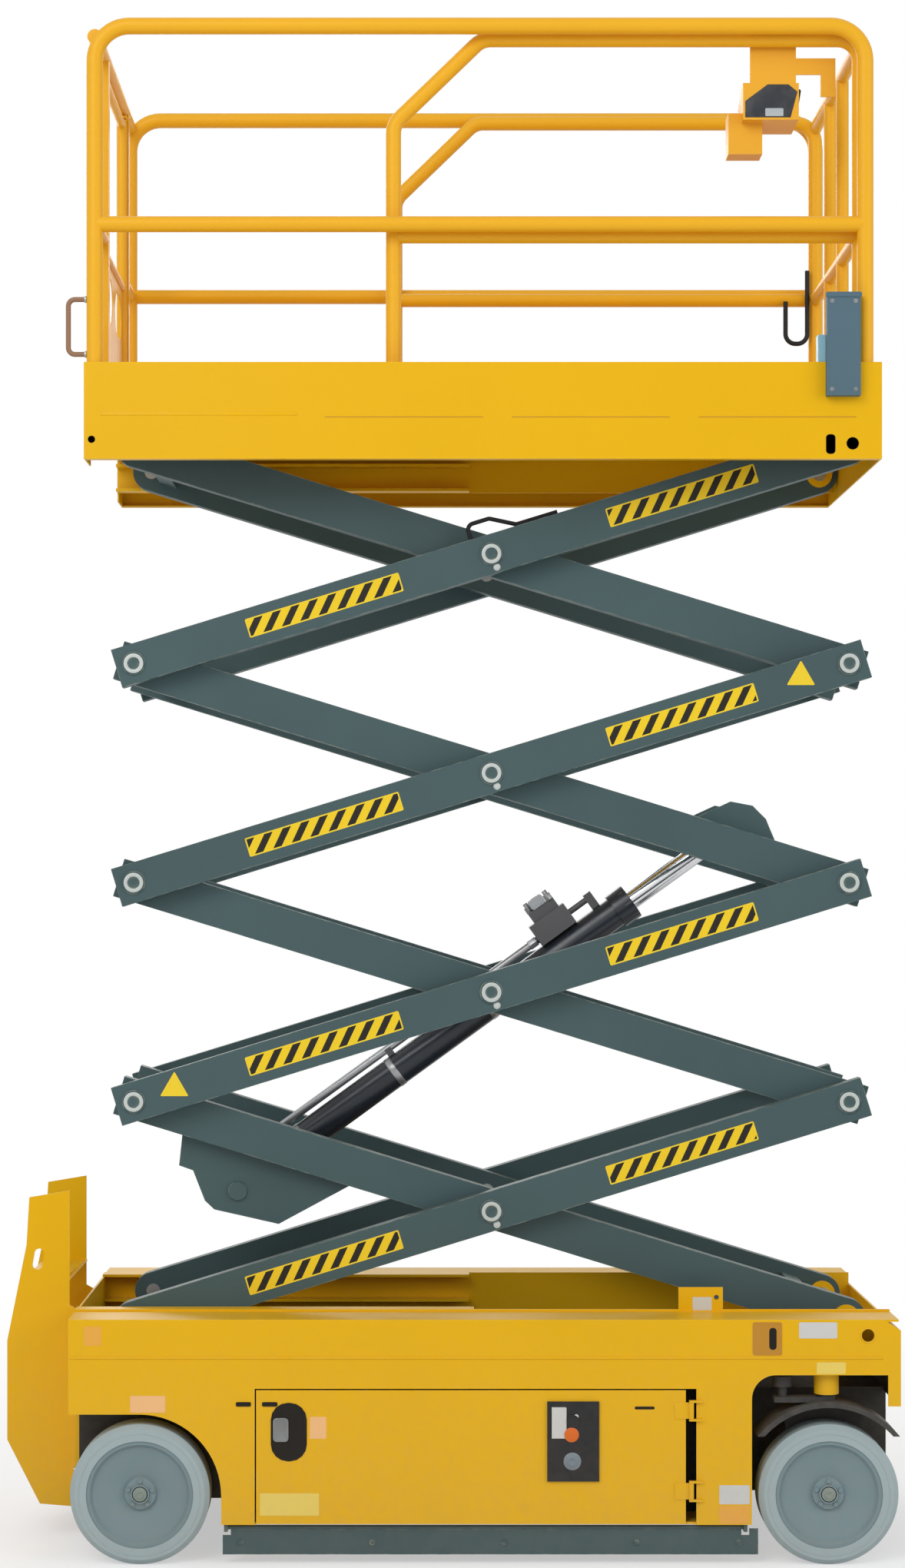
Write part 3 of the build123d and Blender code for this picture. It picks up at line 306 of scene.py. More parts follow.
def pick_faces(piece, test):
    """Edit mode with only those faces selected for which the test holds."""
    bpy.context.view_layer.objects.active = piece
    bpy.ops.object.mode_set(mode="EDIT")
    bpy.ops.mesh.select_mode(type="FACE")
    bpy.ops.mesh.select_all(action="DESELECT")
    bpy.ops.object.mode_set(mode="OBJECT")
    for face in piece.data.polygons:
        face.select = test(face)
    bpy.ops.object.mode_set(mode="EDIT")


def round_corners(piece, axis, radius, segments=4):
    """Rounds the corners of a plate, whose thickness runs along one of its own axes."""
    bpy.context.view_layer.objects.active = piece
    bpy.ops.object.mode_set(mode="EDIT")
    bpy.ops.mesh.select_mode(type="EDGE")
    bpy.ops.mesh.select_all(action="DESELECT")
    bpy.ops.object.mode_set(mode="OBJECT")
    points = piece.data.vertices
    for edge in piece.data.edges:
        run = points[edge.vertices[1]].co - points[edge.vertices[0]].co
        edge.select = abs(run[axis]) > 0.99 * run.length
    bpy.ops.object.mode_set(mode="EDIT")
    bpy.ops.mesh.bevel(offset=radius, segments=segments, affect="EDGES")
    bpy.ops.object.mode_set(mode="OBJECT")


def soften(piece, width, segments=2):
    """Breaks the sharp edges and smooths what is round."""
    bpy.ops.object.select_all(action="DESELECT")
    piece.select_set(True)
    bpy.context.view_layer.objects.active = piece
    edges = piece.modifiers.new("edges", "BEVEL")
    edges.width = width
    edges.segments = segments
    edges.limit_method = "ANGLE"
    edges.angle_limit = radians(40.0)
    bpy.ops.object.modifier_apply(modifier=edges.name)
    bpy.ops.object.shade_smooth_by_angle(angle=radians(35.0))


def faces_up(face):
    """Whether a face looks along its piece's own z."""
    return face.normal.z > 0.9


def faces_end(face):
    """Whether a face closes one of the two ends of a round bar."""
    return abs(face.normal.z) > 0.9


def draw_out(piece, rings, test=faces_up):
    """Draws the chosen faces out ring by ring, each with its inset, outwards where negative, and its rise."""
    pick_faces(piece, test)
    for ring_in, rise in rings:
        bpy.ops.mesh.inset(thickness=abs(ring_in), use_outset=ring_in < 0)
        bpy.ops.mesh.extrude_region_shrink_fatten(TRANSFORM_OT_shrink_fatten={"value": rise})
    bpy.ops.object.mode_set(mode="OBJECT")


def sink(piece, border, depth, test=faces_up):
    """Insets the chosen faces by a border and presses them in, or out where the depth is negative."""
    draw_out(piece, ((border, -depth),), test)


def fix(piece, body, *finishes):
    """A finished piece: its place goes into its mesh, and it gets its finishes and its carrier."""
    bpy.ops.object.select_all(action="DESELECT")
    piece.select_set(True)
    bpy.context.view_layer.objects.active = piece
    bpy.ops.object.transform_apply(location=True, rotation=True, scale=True)
    for finish in finishes:
        piece.data.materials.append(finish)
    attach(piece, body)
    return piece


def twin_of(piece, name):
    """One more of a piece, with its own mesh."""
    twin = piece.copy()
    twin.data = piece.data.copy()
    twin.name = name
    twin.data.name = name
    bpy.context.scene.collection.objects.link(twin)
    return twin


def face_outwards(piece):
    """Turns all faces of a piece outwards."""
    pick_faces(piece, lambda face: True)
    bpy.ops.mesh.normals_make_consistent(inside=False)
    bpy.ops.object.mode_set(mode="OBJECT")


def other_side(piece, name, body):
    """The same piece on the left side of the lift, with its faces turned outwards again."""
    twin = twin_of(piece, name)
    twin.scale = (1.0, -1.0, 1.0)
    fix(twin, body)
    face_outwards(twin)
    return twin


def join_all(pieces, name):
    """Pieces that are fixed together for good become one."""
    bpy.ops.object.select_all(action="DESELECT")
    for piece in pieces:
        piece.select_set(True)
    bpy.context.view_layer.objects.active = pieces[0]
    bpy.ops.object.join()
    pieces[0].name = name
    pieces[0].data.name = name
    return pieces[0]


def spread(piece, name, body, places, finishes=()):
    """Copies of a small piece at many places, each with its turn, joined into one, and the first deleted."""
    twins = []
    for place, turn in places:
        twin = twin_of(piece, name)
        twin.location = place
        twin.rotation_euler = turn
        twins.append(twin)
    bpy.data.objects.remove(piece)
    return fix(join_all(twins, name), body, *finishes)


# turns that leave a piece's own z up, or point it out of the right side, the left side, the front
# and the rear
upright = (0.0, 0.0, 0.0)
to_right = (pi / 2, 0.0, 0.0)
to_left = (-pi / 2, 0.0, 0.0)
to_front = (0.0, pi / 2, 0.0)
to_rear = (0.0, -pi / 2, 0.0)
both_sides = ((-1, "right", to_right), (1, "left", to_left))


def plate(name, x, z, y, thick, corner=0.003):
    """A plate on the right side with rounded corners, standing thick proud of a face at y."""
    piece = blank(name, (x[1] - x[0], z[1] - z[0], thick),
                  ((x[0] + x[1]) / 2, -y - thick / 2, (z[0] + z[1]) / 2), to_right)
    round_corners(piece, 2, corner)
    return piece


def bolt_head(name, radius, head, washer):
    """A round bolt head on its washer, along z, its underside at z = 0."""
    washer_t = head * 0.22
    piece = round_bar(name, washer, washer_t, (0.0, 0.0, washer_t / 2), upright, 20)
    draw_out(piece, ((washer - radius, head * 0.78), (radius * 0.2, head * 0.08)))
    bpy.ops.object.transform_apply(location=True, rotation=True, scale=True)
    return piece


def ring_bead(name, major, minor, place, segments):
    """A round bead that runs in a ring about the Y axis."""
    bpy.ops.object.select_all(action="DESELECT")
    bpy.ops.mesh.primitive_torus_add(major_segments=segments[0], minor_segments=segments[1], major_radius=major,
                                     minor_radius=minor, location=place, rotation=to_right)
    bead = bpy.context.object
    bead.name = name
    bead.data.name = name
    soften(bead, 0.0001, 1)
    return bead


yellow = sprayed("yellow_enamel", (0.80, 0.445, 0.0005), (0.93, 0.68, 0.14), settled=0.03)
for node_name in ("door_left", "door_right", "entry_ladder"):
    coat_node(node_name, yellow)
# deep_shadow is a near-black finish that paints the shade in holes, slots, slits and recesses
deep_shadow = sprayed("painted_shade_black", (0.012, 0.010, 0.008), (0.03, 0.03, 0.03), dust=0.05, settled=0.0,
                      gloss=0.6)
skin_y = 0.565

# The fold that stiffens each side skin is a long low bead pressed outwards from end to end,
# between the doors' top and the frame's edge.
fold_size = (2.214, 0.0035, 0.006)
fold_x, fold_z = 0.083, 0.563
for side, side_name, _ in both_sides:
    fold = blank(f"skin_fold_{side_name}", fold_size, (fold_x, side * (skin_y + 0.0008), fold_z))
    soften(fold, 0.0014, 3)
    fix(fold, "chassis", yellow)

# The ears that hold the guards' rods are slate like the arms, and the frame's inner faces below its
# top, ahead of the rear wall, are painted nearly black as painted shade.
ear_top_z = 0.1085
inner_y = 0.412
inner_top_z = 0.548
inner_rear_x = -1.015
slate_paint = (0.062, 0.104, 0.110)
inner_painted_shade = (0.022, 0.020, 0.018)
skin_finish = yellow.copy()
skin_finish.name = "yellow_over_slate"
skin_tree = skin_finish.node_tree
skin_layer = [node for node in skin_tree.nodes if node.type == "GROUP"][0]
skin_place = skin_tree.nodes.new("ShaderNodeTexCoord")
skin_parts = skin_tree.nodes.new("ShaderNodeSeparateXYZ")
skin_tree.links.new(skin_place.outputs["Object"], skin_parts.inputs["Vector"])
skin_math = partial(tree_math, skin_tree)
skin_blend = partial(tree_blend, skin_tree)
skin_below = skin_math("LESS_THAN", skin_parts.outputs["Z"], ear_top_z)
skin_inside = skin_math("LESS_THAN", skin_math("ABSOLUTE", skin_parts.outputs["Y"]), inner_y)
skin_low = skin_math("LESS_THAN", skin_parts.outputs["Z"], inner_top_z)
skin_ahead = skin_math("GREATER_THAN", skin_parts.outputs["X"], inner_rear_x)
skin_shade_mask = skin_math("MULTIPLY", skin_math("MULTIPLY", skin_inside, skin_low), skin_ahead)
skin_paint = tuple(skin_layer.inputs["Paint"].default_value[:3])
skin_color = skin_blend(skin_below, skin_blend(skin_shade_mask, skin_paint, inner_painted_shade), slate_paint)
skin_tree.links.new(skin_color, skin_layer.inputs["Paint"])
coat_node("chassis_frame", skin_finish)

# Decals on the side skins, printed vinyl with rounded corners, here without their print. Each
# row gives its name, its ends along x and z, and its ink.
vinyl_white = sprayed("vinyl_white", (0.62, 0.62, 0.60), (0.5, 0.5, 0.45), dust=0.3, gloss=0.35, peel=0.0)
vinyl_pink = sprayed("vinyl_pink", (0.88, 0.50, 0.22), (0.8, 0.5, 0.3), dust=0.2, gloss=0.35, peel=0.0)
vinyl_orange = sprayed("vinyl_orange", (0.82, 0.40, 0.06), (0.8, 0.5, 0.3), dust=0.2, gloss=0.35, peel=0.0)
vinyl_pale = sprayed("vinyl_pale", (0.82, 0.62, 0.13), (0.7, 0.6, 0.4), dust=0.2, gloss=0.35, peel=0.0)
vinyl_blue = sprayed("vinyl_blue", (0.10, 0.20, 0.32), (0.4, 0.4, 0.4), dust=0.2, gloss=0.35, peel=0.0)
decal_t = 0.0004
lock_plate_y = 0.405
for decal_name, decal_x, decal_z, decal_body, decal_ink in (
        ("tie_mark", (-0.985, -0.937), (0.596, 0.648), "chassis", vinyl_orange),
        ("wheel_load", (-0.859, -0.763), (0.414, 0.460), "chassis", vinyl_pink),
        ("brake_notice", (0.744, 0.827), (0.165, 0.217), "chassis", vinyl_white),
        ("brake_notice_foot", (0.744, 0.827), (0.112, 0.161), "chassis", vinyl_orange),
        ("jack_notice", (0.961, 1.065), (0.616, 0.660), "chassis", vinyl_white),
        ("wheel_load_front", (1.009, 1.088), (0.519, 0.551), "chassis", vinyl_pale),
        ("fork_notice", (-0.370, -0.325), (0.343, 0.403), "door_right", vinyl_pink),
        ("door_notice", (-0.506, -0.345), (0.134, 0.195), "door_right", vinyl_pale)):
    decal = plate(f"decal_{decal_name}", decal_x, decal_z, skin_y, decal_t)
    soften(decal, 0.0001, 1)
    fix(decal, decal_body, decal_ink)
    if decal_body == "chassis":
        other_side(decal, f"decal_{decal_name}_left", "chassis")
lock_decal = plate("decal_lock_plate", (0.686, 0.739), (0.670, 0.707), lock_plate_y, decal_t)
fix(lock_decal, "chassis", vinyl_white)

# The brake release stands in a shallow pressed cup in each skin behind a slotted cover. The cup's
# brown is painted shade on the yellow, and its slot is a dark plate that paints the slot's shade.
shade_brown = sprayed("cup_primer", (0.52, 0.24, 0.02), (0.5, 0.3, 0.1), dust=0.5, settled=0.2, gloss=0.5)
cup = plate("brake_cup", (0.835, 0.915), (0.570, 0.660), skin_y, 0.0012, 0.006)
sink(cup, 0.004, 0.0006)
soften(cup, 0.0003, 1)
fix(cup, "chassis", shade_brown)
cup_slot = plate("brake_cup_slot", (0.880, 0.900), (0.585, 0.645), skin_y + 0.0006, 0.0002, 0.009)
fix(cup_slot, "chassis", deep_shadow)
for piece in (cup, cup_slot):
    other_side(piece, f"{piece.name}_left", "chassis")

# Each tie-down hole near the front corners has a pressed collar round it, so that a hook doesn't
# chafe the sheet.
tie_hole_x, tie_hole_z = 1.149, 0.624
for side, side_name, _ in both_sides:
    collar = ring_bead(f"tie_down_collar_{side_name}", 0.0195, 0.0022,
                       (tie_hole_x, side * skin_y, tie_hole_z), (40, 10))
    fix(collar, "chassis", yellow)

# Zinc-plated bolts with washers hold the ladder to the rear wall, and others go through the plate
# that closes the frame at the front.
zinc = sprayed("zinc_plate", (0.42, 0.43, 0.44), (0.6, 0.6, 0.6), fade=0.15, edge=0.4, dust=0.1, settled=0.05,
               gloss=0.3, peel=0.0, metallic=0.8)
rear_wall_x, nose_x = -1.027, 1.2385
spread(bolt_head("wall_bolt", 0.0085, 0.007, 0.012), "rear_wall_bolts", "chassis",
       [((rear_wall_x, side * y, z), to_rear)
        for side in (1, -1) for y in (0.265, 0.36) for z in (0.22, 0.42, 0.60)], (zinc,))
spread(bolt_head("nose_bolt", 0.0085, 0.007, 0.012), "front_wall_bolts", "chassis",
       [((nose_x, side * y, z), to_front)
        for side in (1, -1) for y in (0.12, 0.24) for z in (0.19, 0.38)], (zinc,))

# Side doors: folded sheet in the same yellow, each with a latch at the free edge and its keeper on
# the frame, a paddle in an oval recess to pull on, and a vent slit beside the hinge. The recess, the
# slit, the latch and its keeper are dark plates that paint their shade.
steel_grey = sprayed("latch_steel", (0.22, 0.23, 0.24), (0.5, 0.5, 0.5), edge=0.5, gloss=0.35, metallic=0.5)
door_pieces = []
recess = plate("door_recess_right", (-0.476, -0.378), (0.282, 0.441), skin_y, 0.0016, 0.046)
sink(recess, 0.004, 0.0008)
soften(recess, 0.0004, 1)
door_pieces.append(fix(recess, "door_right", deep_shadow))
paddle = plate("door_paddle_right", (-0.470, -0.428), (0.335, 0.400), skin_y + 0.0008, 0.0035, 0.010)
sink(paddle, 0.005, 0.001)
soften(paddle, 0.0008, 2)
door_pieces.append(fix(paddle, "door_right", steel_grey))
slit = plate("door_slit_right", (0.514, 0.568), (0.423, 0.431), skin_y, 0.0005, 0.0035)
door_pieces.append(fix(slit, "door_right", deep_shadow))
latch_z = (0.431, 0.443)
for latch_name, latch_x, latch_body in (("door_latch_right", (-0.500, -0.458), "door_right"),
                                        ("latch_keeper_right", (-0.571, -0.530), "chassis")):
    latch = plate(latch_name, latch_x, latch_z, skin_y, 0.0022, 0.004)
    sink(latch, 0.002, 0.001)
    soften(latch, 0.0005, 2)
    door_pieces.append(fix(latch, latch_body, deep_shadow))
for piece, body in zip(door_pieces, ("door_left", "door_left", "door_left", "door_left", "chassis")):
    other_side(piece, piece.name.replace("right", "left"), body)

# Ground controls: a black moulded panel let into the right door, with a toggle for up and down,
# a red mushroom button that stops everything, and a grey key switch below it.
black_plastic = sprayed("black_plastic", (0.018, 0.019, 0.022), (0.06, 0.06, 0.06), dust=0.15, gloss=0.45,
                        peel=0.12)
coat_node("ground_control_box", black_plastic)
panel_y = 0.5713
panel_label = plate("ground_panel_label", (0.286, 0.328), (0.345, 0.430), panel_y, decal_t)
fix(panel_label, "door_right", vinyl_white)
bezel = plate("ground_panel_bezel", (0.282, 0.411), (0.236, 0.438), panel_y, 0.0004, 0.008)
pick_faces(bezel, faces_up)
bpy.ops.mesh.inset(thickness=0.006)
bpy.ops.mesh.delete(type="FACE")
bpy.ops.object.mode_set(mode="OBJECT")
shell = bezel.modifiers.new("shell", "SOLIDIFY")
shell.thickness = 0.0003
bpy.ops.object.modifier_apply(modifier=shell.name)
fix(bezel, "door_right", black_plastic)
stop_red = sprayed("stop_red", (0.70, 0.15, 0.02), (0.8, 0.3, 0.2), dust=0.05, gloss=0.25, peel=0.0)
key_grey = sprayed("key_grey", (0.20, 0.24, 0.27), (0.4, 0.4, 0.4), dust=0.05, gloss=0.3, metallic=0.4)
lever_white = sprayed("lever_white", (0.60, 0.60, 0.58), (0.6, 0.6, 0.6), dust=0.05, gloss=0.3, peel=0.0)


def turned_button(name, place, rings, finish, body, turn=to_right):
    """A turned button: a disc drawn out ring by ring, each with its inset and its rise."""
    first_r, first_rise = rings[0]
    piece = round_bar(name, first_r, first_rise, (0.0, 0.0, first_rise / 2), upright, 36)
    draw_out(piece, rings[1:])
    bpy.ops.object.transform_apply(location=True, rotation=True, scale=True)
    piece.location = place
    piece.rotation_euler = turn
    soften(piece, 0.0006, 2)
    return fix(piece, body, finish)


stop_rings = ((0.020, 0.0008), (0.0001, 0.0008), (0.0025, 0.0008), (0.006, 0.0005))
key_rings = ((0.024, 0.0010), (0.004, 0.0007), (0.008, 0.0008), (0.004, -0.0005))
toggle_rings = ((0.006, 0.0010), (0.002, 0.0012), (0.001, 0.0010))
turned_button("ground_stop_button", (0.342, -panel_y, 0.355), stop_rings, stop_red, "door_right")
turned_button("ground_key_switch", (0.344, -panel_y, 0.283), key_rings, key_grey, "door_right")
turned_button("ground_toggle", (0.355, -panel_y, 0.405), toggle_rings, lever_white, "door_right")

# Entry ladder: laser-cut side sheets and folded treads, whose dimples are punched upwards so
# that a wet boot holds.
dimple_r, dimple_pitch, row_pitch = 0.007, 0.038, 0.032
first_row, first_column = 0.025, -0.19
tread_t = 0.004
dimple = round_bar("tread_dimple", dimple_r, 0.0016, (0.0, 0.0, 0.0008), upright, 16)
draw_out(dimple, ((0.0025, 0.001), (0.0015, -0.001)))
bpy.ops.object.transform_apply(location=True, rotation=True, scale=True)
spread(dimple, "tread_dimples", "chassis",
       [((tread_x + first_row + row_pitch * row,
          first_column + dimple_pitch * column + dimple_pitch / 2 * (row % 2), tread_z + tread_t), upright)
        for tread_z, tread_x in ((0.230, -1.200), (0.480, -1.215), (0.730, -1.190))
        for row in range(4) for column in range(10)], (yellow,))

# Pothole guards: slate plates that swing down under the compartments when the platform rises,
# with button-headed bolts through their flange.
# the slate's strong pale edge colour paints a highlight along the edges of the arms and guards, with some worn
# paint
slate = sprayed("slate_enamel", slate_paint, (0.40, 0.43, 0.34), fade=0.35, edge=0.85, dust=0.12, gloss=0.38)
guard_y, flange_z = 0.548, 0.058
guard_bolt_x = (-0.56, -0.2, 0.16, 0.52, 0.80)
for side, side_name, outward in both_sides:
    coat_node(f"guard_{side_name}", slate)
    spread(bolt_head(f"guard_bolt_{side_name}", 0.006, 0.0045, 0.009), f"guard_bolts_{side_name}",
           f"guard_{side_name}", [((x, side * guard_y, flange_z), outward) for x in guard_bolt_x], (slate,))

# Wheels: non-marking pale grey rubber moulded onto a pressed steel dish, with a ring of bolts
# round the cap in its middle and a bead where the rubber meets the rim.
rubber = sprayed("tyre_rubber", (0.36, 0.45, 0.475), (0.46, 0.54, 0.56), fade=0.12, edge=0.2, dust=0.35,
                 gloss=0.62, peel=0.2)
rim_enamel = sprayed("rim_enamel", (0.180, 0.265, 0.295), (0.32, 0.38, 0.40), fade=0.3, dust=0.35, gloss=0.42)
hub_steel = sprayed("hub_steel", (0.22, 0.28, 0.25), (0.4, 0.42, 0.4), fade=0.3, dust=0.4, gloss=0.4,
                    metallic=0.2)
wheel_z = 0.1905
cap_y = 0.5592
cap_rings = ((0.022, 0.0008), (0.003, 0.0016), (0.008, 0.0012), (0.004, -0.0008))
bead_r, bead_y = 0.1655, 0.5676
dish_y, dish_bolt_r, dish_bolts = 0.5485, 0.034, 5
first_bolt_turn = 0.3
for end_name, axle_x in (("rear", -0.833), ("front", 1.043)):
    for side, side_name, outward in both_sides:
        wheel = f"{end_name}_{side_name}"
        coat_node(f"tyre_{wheel}", rubber)
        coat_node(f"rim_{wheel}", rim_enamel)
        turned_button(f"hub_cap_{wheel}", (axle_x, side * cap_y, wheel_z), cap_rings, hub_steel,
                      f"wheel_{wheel}", outward)
        bead = ring_bead(f"tyre_bead_{wheel}", bead_r, 0.0016, (axle_x, side * bead_y, wheel_z), (72, 8))
        fix(bead, f"wheel_{wheel}", rubber)
        bolt_turns = [2 * pi * step / dish_bolts + first_bolt_turn for step in range(dish_bolts)]
        spread(bolt_head(f"dish_bolt_{wheel}", 0.006, 0.005, 0.0085), f"dish_bolts_{wheel}", f"wheel_{wheel}",
               [((axle_x + dish_bolt_r * cos(turn), side * dish_y, wheel_z + dish_bolt_r * sin(turn)), outward)
                for turn in bolt_turns], (rim_enamel,))

# Steering and axle: dark primed castings, with a bolt at each end of the tie rod. The batteries
# and the power unit behind the doors are as dark.
primer = sprayed("dark_primer", (0.030, 0.033, 0.036), (0.12, 0.12, 0.12), fade=0.2, dust=0.5, gloss=0.45)
for node_name in ("rear_axle", "knuckle_left", "knuckle_right", "tie_rod", "battery_pack", "power_unit"):
    coat_node(node_name, primer)
rod_end_x, rod_end_y, rod_end_z = 0.923, 0.508, 0.5435
for side, side_name, _ in both_sides:
    spread(bolt_head(f"rod_end_bolt_{side_name}", 0.007, 0.007, 0.011), f"rod_end_bolts_{side_name}",
           f"knuckle_{side_name}", [((rod_end_x, side * rod_end_y, rod_end_z), upright)], (zinc,))

# Scissor arms: rectangular steel tubes in four crossed pairs, welded to bosses and sprayed slate.
# The pale line along the tubes' edges is a painted highlight, partly worn paint.
stages = (1, 2, 3, 4)
for stage in stages:
    coat_node(f"inner_arms_{stage}", slate)
    coat_node(f"outer_arms_{stage}", slate)
arm_angle = radians(17.02)
cross_x = 0.1298
cross_z = (0.9379, 1.5496, 2.1614, 2.7731)
half_arm = 1.045
arm_face_y = 0.345
pin_face_y = 0.350
to_arm_right = (pi / 2, -arm_angle, 0.0)


def on_arm(stage, along, above, y):
    """A place so far along and above the middle line of a stage's outer arm, which rises to the front."""
    return (cross_x + along * cos(arm_angle) - above * sin(arm_angle), y,
            cross_z[stage - 1] + along * sin(arm_angle) + above * cos(arm_angle))


# Hazard strips on the outer arms: yellow vinyl with slanting black bars, with a plain yellow
# edge all round. The bars lean forward, and are set square to the arm's own line.
hazard_yellow = (0.86, 0.60, 0.02)
bar_black = (0.020, 0.018, 0.015)
bar_pitch = 0.0400
bar_share = 0.54  # of the pitch, where the black begins
bar_lean = radians(42.0)
strip_finish = sprayed("hazard_bars", hazard_yellow, (0.9, 0.75, 0.2), fade=0.1, dust=0.0, gloss=0.35, peel=0.0)
strip_tree = strip_finish.node_tree
strip_layer = [node for node in strip_tree.nodes if node.type == "GROUP"][0]
bar_place = strip_tree.nodes.new("ShaderNodeTexCoord")
bar_along = strip_tree.nodes.new("ShaderNodeVectorMath")
bar_along.operation = "DOT_PRODUCT"
bar_along.inputs[1].default_value = (cos(arm_angle - bar_lean) / bar_pitch, 0.0,
                                     sin(arm_angle - bar_lean) / bar_pitch)
strip_tree.links.new(bar_place.outputs["Object"], bar_along.inputs[0])
bar_step = tree_math(strip_tree, "FRACT", bar_along.outputs["Value"])
bar_dark = tree_math(strip_tree, "GREATER_THAN", bar_step, bar_share)
strip_tree.links.new(tree_blend(strip_tree, bar_dark, hazard_yellow, bar_black), strip_layer.inputs["Paint"])
vinyl_yellow = sprayed("vinyl_yellow", (0.86, 0.62, 0.03), (0.9, 0.75, 0.2), fade=0.1, dust=0.0, gloss=0.35,
                       peel=0.0)


def two_finishes(piece, outer, chosen):
    """Gives the faces that are still selected one finish and the rest of the piece another."""
    piece.data.materials.append(outer)
    piece.data.materials.append(chosen)
    for face in piece.data.polygons:
        face.material_index = 1 if face.select else 0


strip_h, strip_t, strip_edge = 0.054, 0.0005, 0.004
strip_ends = ((-0.713, -0.264), (0.340, 0.773))
for stage in stages:
    for side, side_name, _ in both_sides:
        strips = []
        for strip_from, strip_to in strip_ends:
            strip = blank("strip", (strip_to - strip_from, strip_h, strip_t),
                          on_arm(stage, (strip_from + strip_to) / 2, 0.0, side * (arm_face_y + strip_t / 2)),
                          to_arm_right)
            round_corners(strip, 2, 0.004, 3)
            pick_faces(strip, lambda face: side * face.normal.z < -0.9)
            bpy.ops.mesh.inset(thickness=strip_edge)
            bpy.ops.object.mode_set(mode="OBJECT")
            two_finishes(strip, vinyl_yellow, strip_finish)
            strips.append(strip)
        fix(join_all(strips, f"hazard_strips_{stage}_{side_name}"), f"outer_{stage}")

# A blank yellow triangle marks the crushing points near two arm ends: at the rear on the second
# pair and at the front on the third.
mark_r, mark_above = 0.046, 0.004
for stage, along, end_name in ((2, -0.925, "rear"), (3, 0.905, "front")):
    for side, side_name, _ in both_sides:
        mark = round_bar(f"arm_mark_{end_name}_{side_name}", mark_r, strip_t,
                         on_arm(stage, along, mark_above, side * (arm_face_y + strip_t / 2)), to_right, 3)
        round_corners(mark, 2, 0.004, 3)
        fix(mark, f"outer_{stage}", vinyl_yellow)

# Pins: ground steel. The outer end of each shows as a pale zinc ring round a slate middle, and
# one bolt keeps the middle pin of each pair from turning.
pin_steel = sprayed("pin_steel", (0.46, 0.47, 0.48), (0.7, 0.7, 0.7), fade=0.2, edge=0.3, dust=0.1, gloss=0.28,
                    peel=0.0, metallic=0.85)
for node_name in ("pins_1", "pins_2", "pins_3", "pins_4", "base_pins", "lower_rollers", "upper_rollers"):
    coat_node(node_name, pin_steel)
coat_node("cylinder_shaft", slate)
zinc_pale = sprayed("zinc_pale", (0.52, 0.56, 0.54), (0.75, 0.75, 0.72), fade=0.2, edge=0.3, dust=0.05,
                    gloss=0.4, peel=0.0, metallic=0.25)
head_r, head_t, head_border, head_depth = 0.0275, 0.003, 0.010, 0.0024
tab_bolt = (0.004, -0.040)  # along and above the arm's middle line, from the middle pin
for stage in stages:
    for side, side_name, outward in both_sides:
        heads = []
        for along in (-half_arm, 0.0, half_arm):
            if (stage, along) in ((1, -half_arm), (4, half_arm)):
                continue
            ring = round_bar("head", head_r, head_t, (0.0, 0.0, head_t / 2), upright, 40)
            sink(ring, head_border, head_depth)
            two_finishes(ring, zinc_pale, slate)
            bpy.ops.object.transform_apply(location=True, rotation=True, scale=True)
            ring.location = on_arm(stage, along, 0.0, side * pin_face_y)
            ring.rotation_euler = outward
            soften(ring, 0.0006, 2)
            heads.append(ring)
        fix(join_all(heads, f"pin_heads_{stage}_{side_name}"), f"outer_{stage}")
        tab_place = on_arm(stage, *tab_bolt, side * arm_face_y)
        spread(bolt_head(f"pin_bolt_{stage}_{side_name}", 0.0075, 0.005, 0.010),
               f"pin_bolts_{stage}_{side_name}", f"outer_{stage}", [(tab_place, outward)], (zinc_pale,))

# Lift cylinder: a dark barrel with a chromed rod, a valve block with its coil at the upper end,
# and a hard steel line on top between two unions, with clips round the barrel.
rod_chrome = sprayed("rod_chrome", (0.75, 0.76, 0.78), (0.8, 0.8, 0.8), fade=0.03, edge=0.0, dust=0.0,
                     settled=0.02, gloss=0.08, peel=0.0, metallic=1.0)
coat_node("cylinder_rod", rod_chrome)
valve_metal = sprayed("valve_metal", (0.12, 0.12, 0.125), (0.3, 0.3, 0.3), gloss=0.35, metallic=0.3)
coat_node("valve_block", valve_metal)
barrel_paint = sprayed("barrel_paint", (0.020, 0.026, 0.036), (0.12, 0.12, 0.12), fade=0.2, dust=0.1,
                       gloss=0.22, shine=0.5)
coat_node("cylinder_barrel", barrel_paint)
for node_name in ("arm_hose", "control_cable"):
    coat_node(node_name, black_plastic)
low_pin = (-0.5859, 0.9844)
barrel_lean = radians(35.936)
to_barrel = (0.0, pi / 2 - barrel_lean, 0.0)
off_barrel = (0.0, -barrel_lean, 0.0)
gland_at, valve_at, line_above = 1.384, 1.170, 0.067


def on_barrel(along, above, y):
    """A place so far from the lower eye along the cylinder and above its middle line."""
    return (low_pin[0] + along * cos(barrel_lean) - above * sin(barrel_lean), y,
            low_pin[1] + along * sin(barrel_lean) + above * cos(barrel_lean))


gland_nut = round_bar("gland_nut", 0.0535, 0.022, on_barrel(gland_at, 0.0, 0.0), to_barrel, 8)
sink(gland_nut, 0.012, 0.002)
soften(gland_nut, 0.0015, 2)
fix(gland_nut, "barrel", valve_metal)
coil_grey = sprayed("coil_grey", (0.46, 0.48, 0.50), (0.6, 0.6, 0.6), dust=0.0, gloss=0.35)
coil = blank("valve_coil", (0.046, 0.060, 0.030), on_barrel(valve_at, 0.158, 0.0), off_barrel)
round_corners(coil, 1, 0.008, 4)
soften(coil, 0.002, 2)
sink(coil, 0.006, 0.002, lambda face: faces_up(face) and face.area > 0.0005)
fix(coil, "barrel", coil_grey)
for valve_name, along, across in (("rear", 1.140, 0.024), ("front", 1.205, -0.022)):
    fitting = round_bar(f"valve_fitting_{valve_name}", 0.0125, 0.020, on_barrel(along, 0.152, across),
                        off_barrel, 6)
    draw_out(fitting, ((0.004, 0.012),))
    soften(fitting, 0.001, 2)
    fix(fitting, "barrel", zinc)
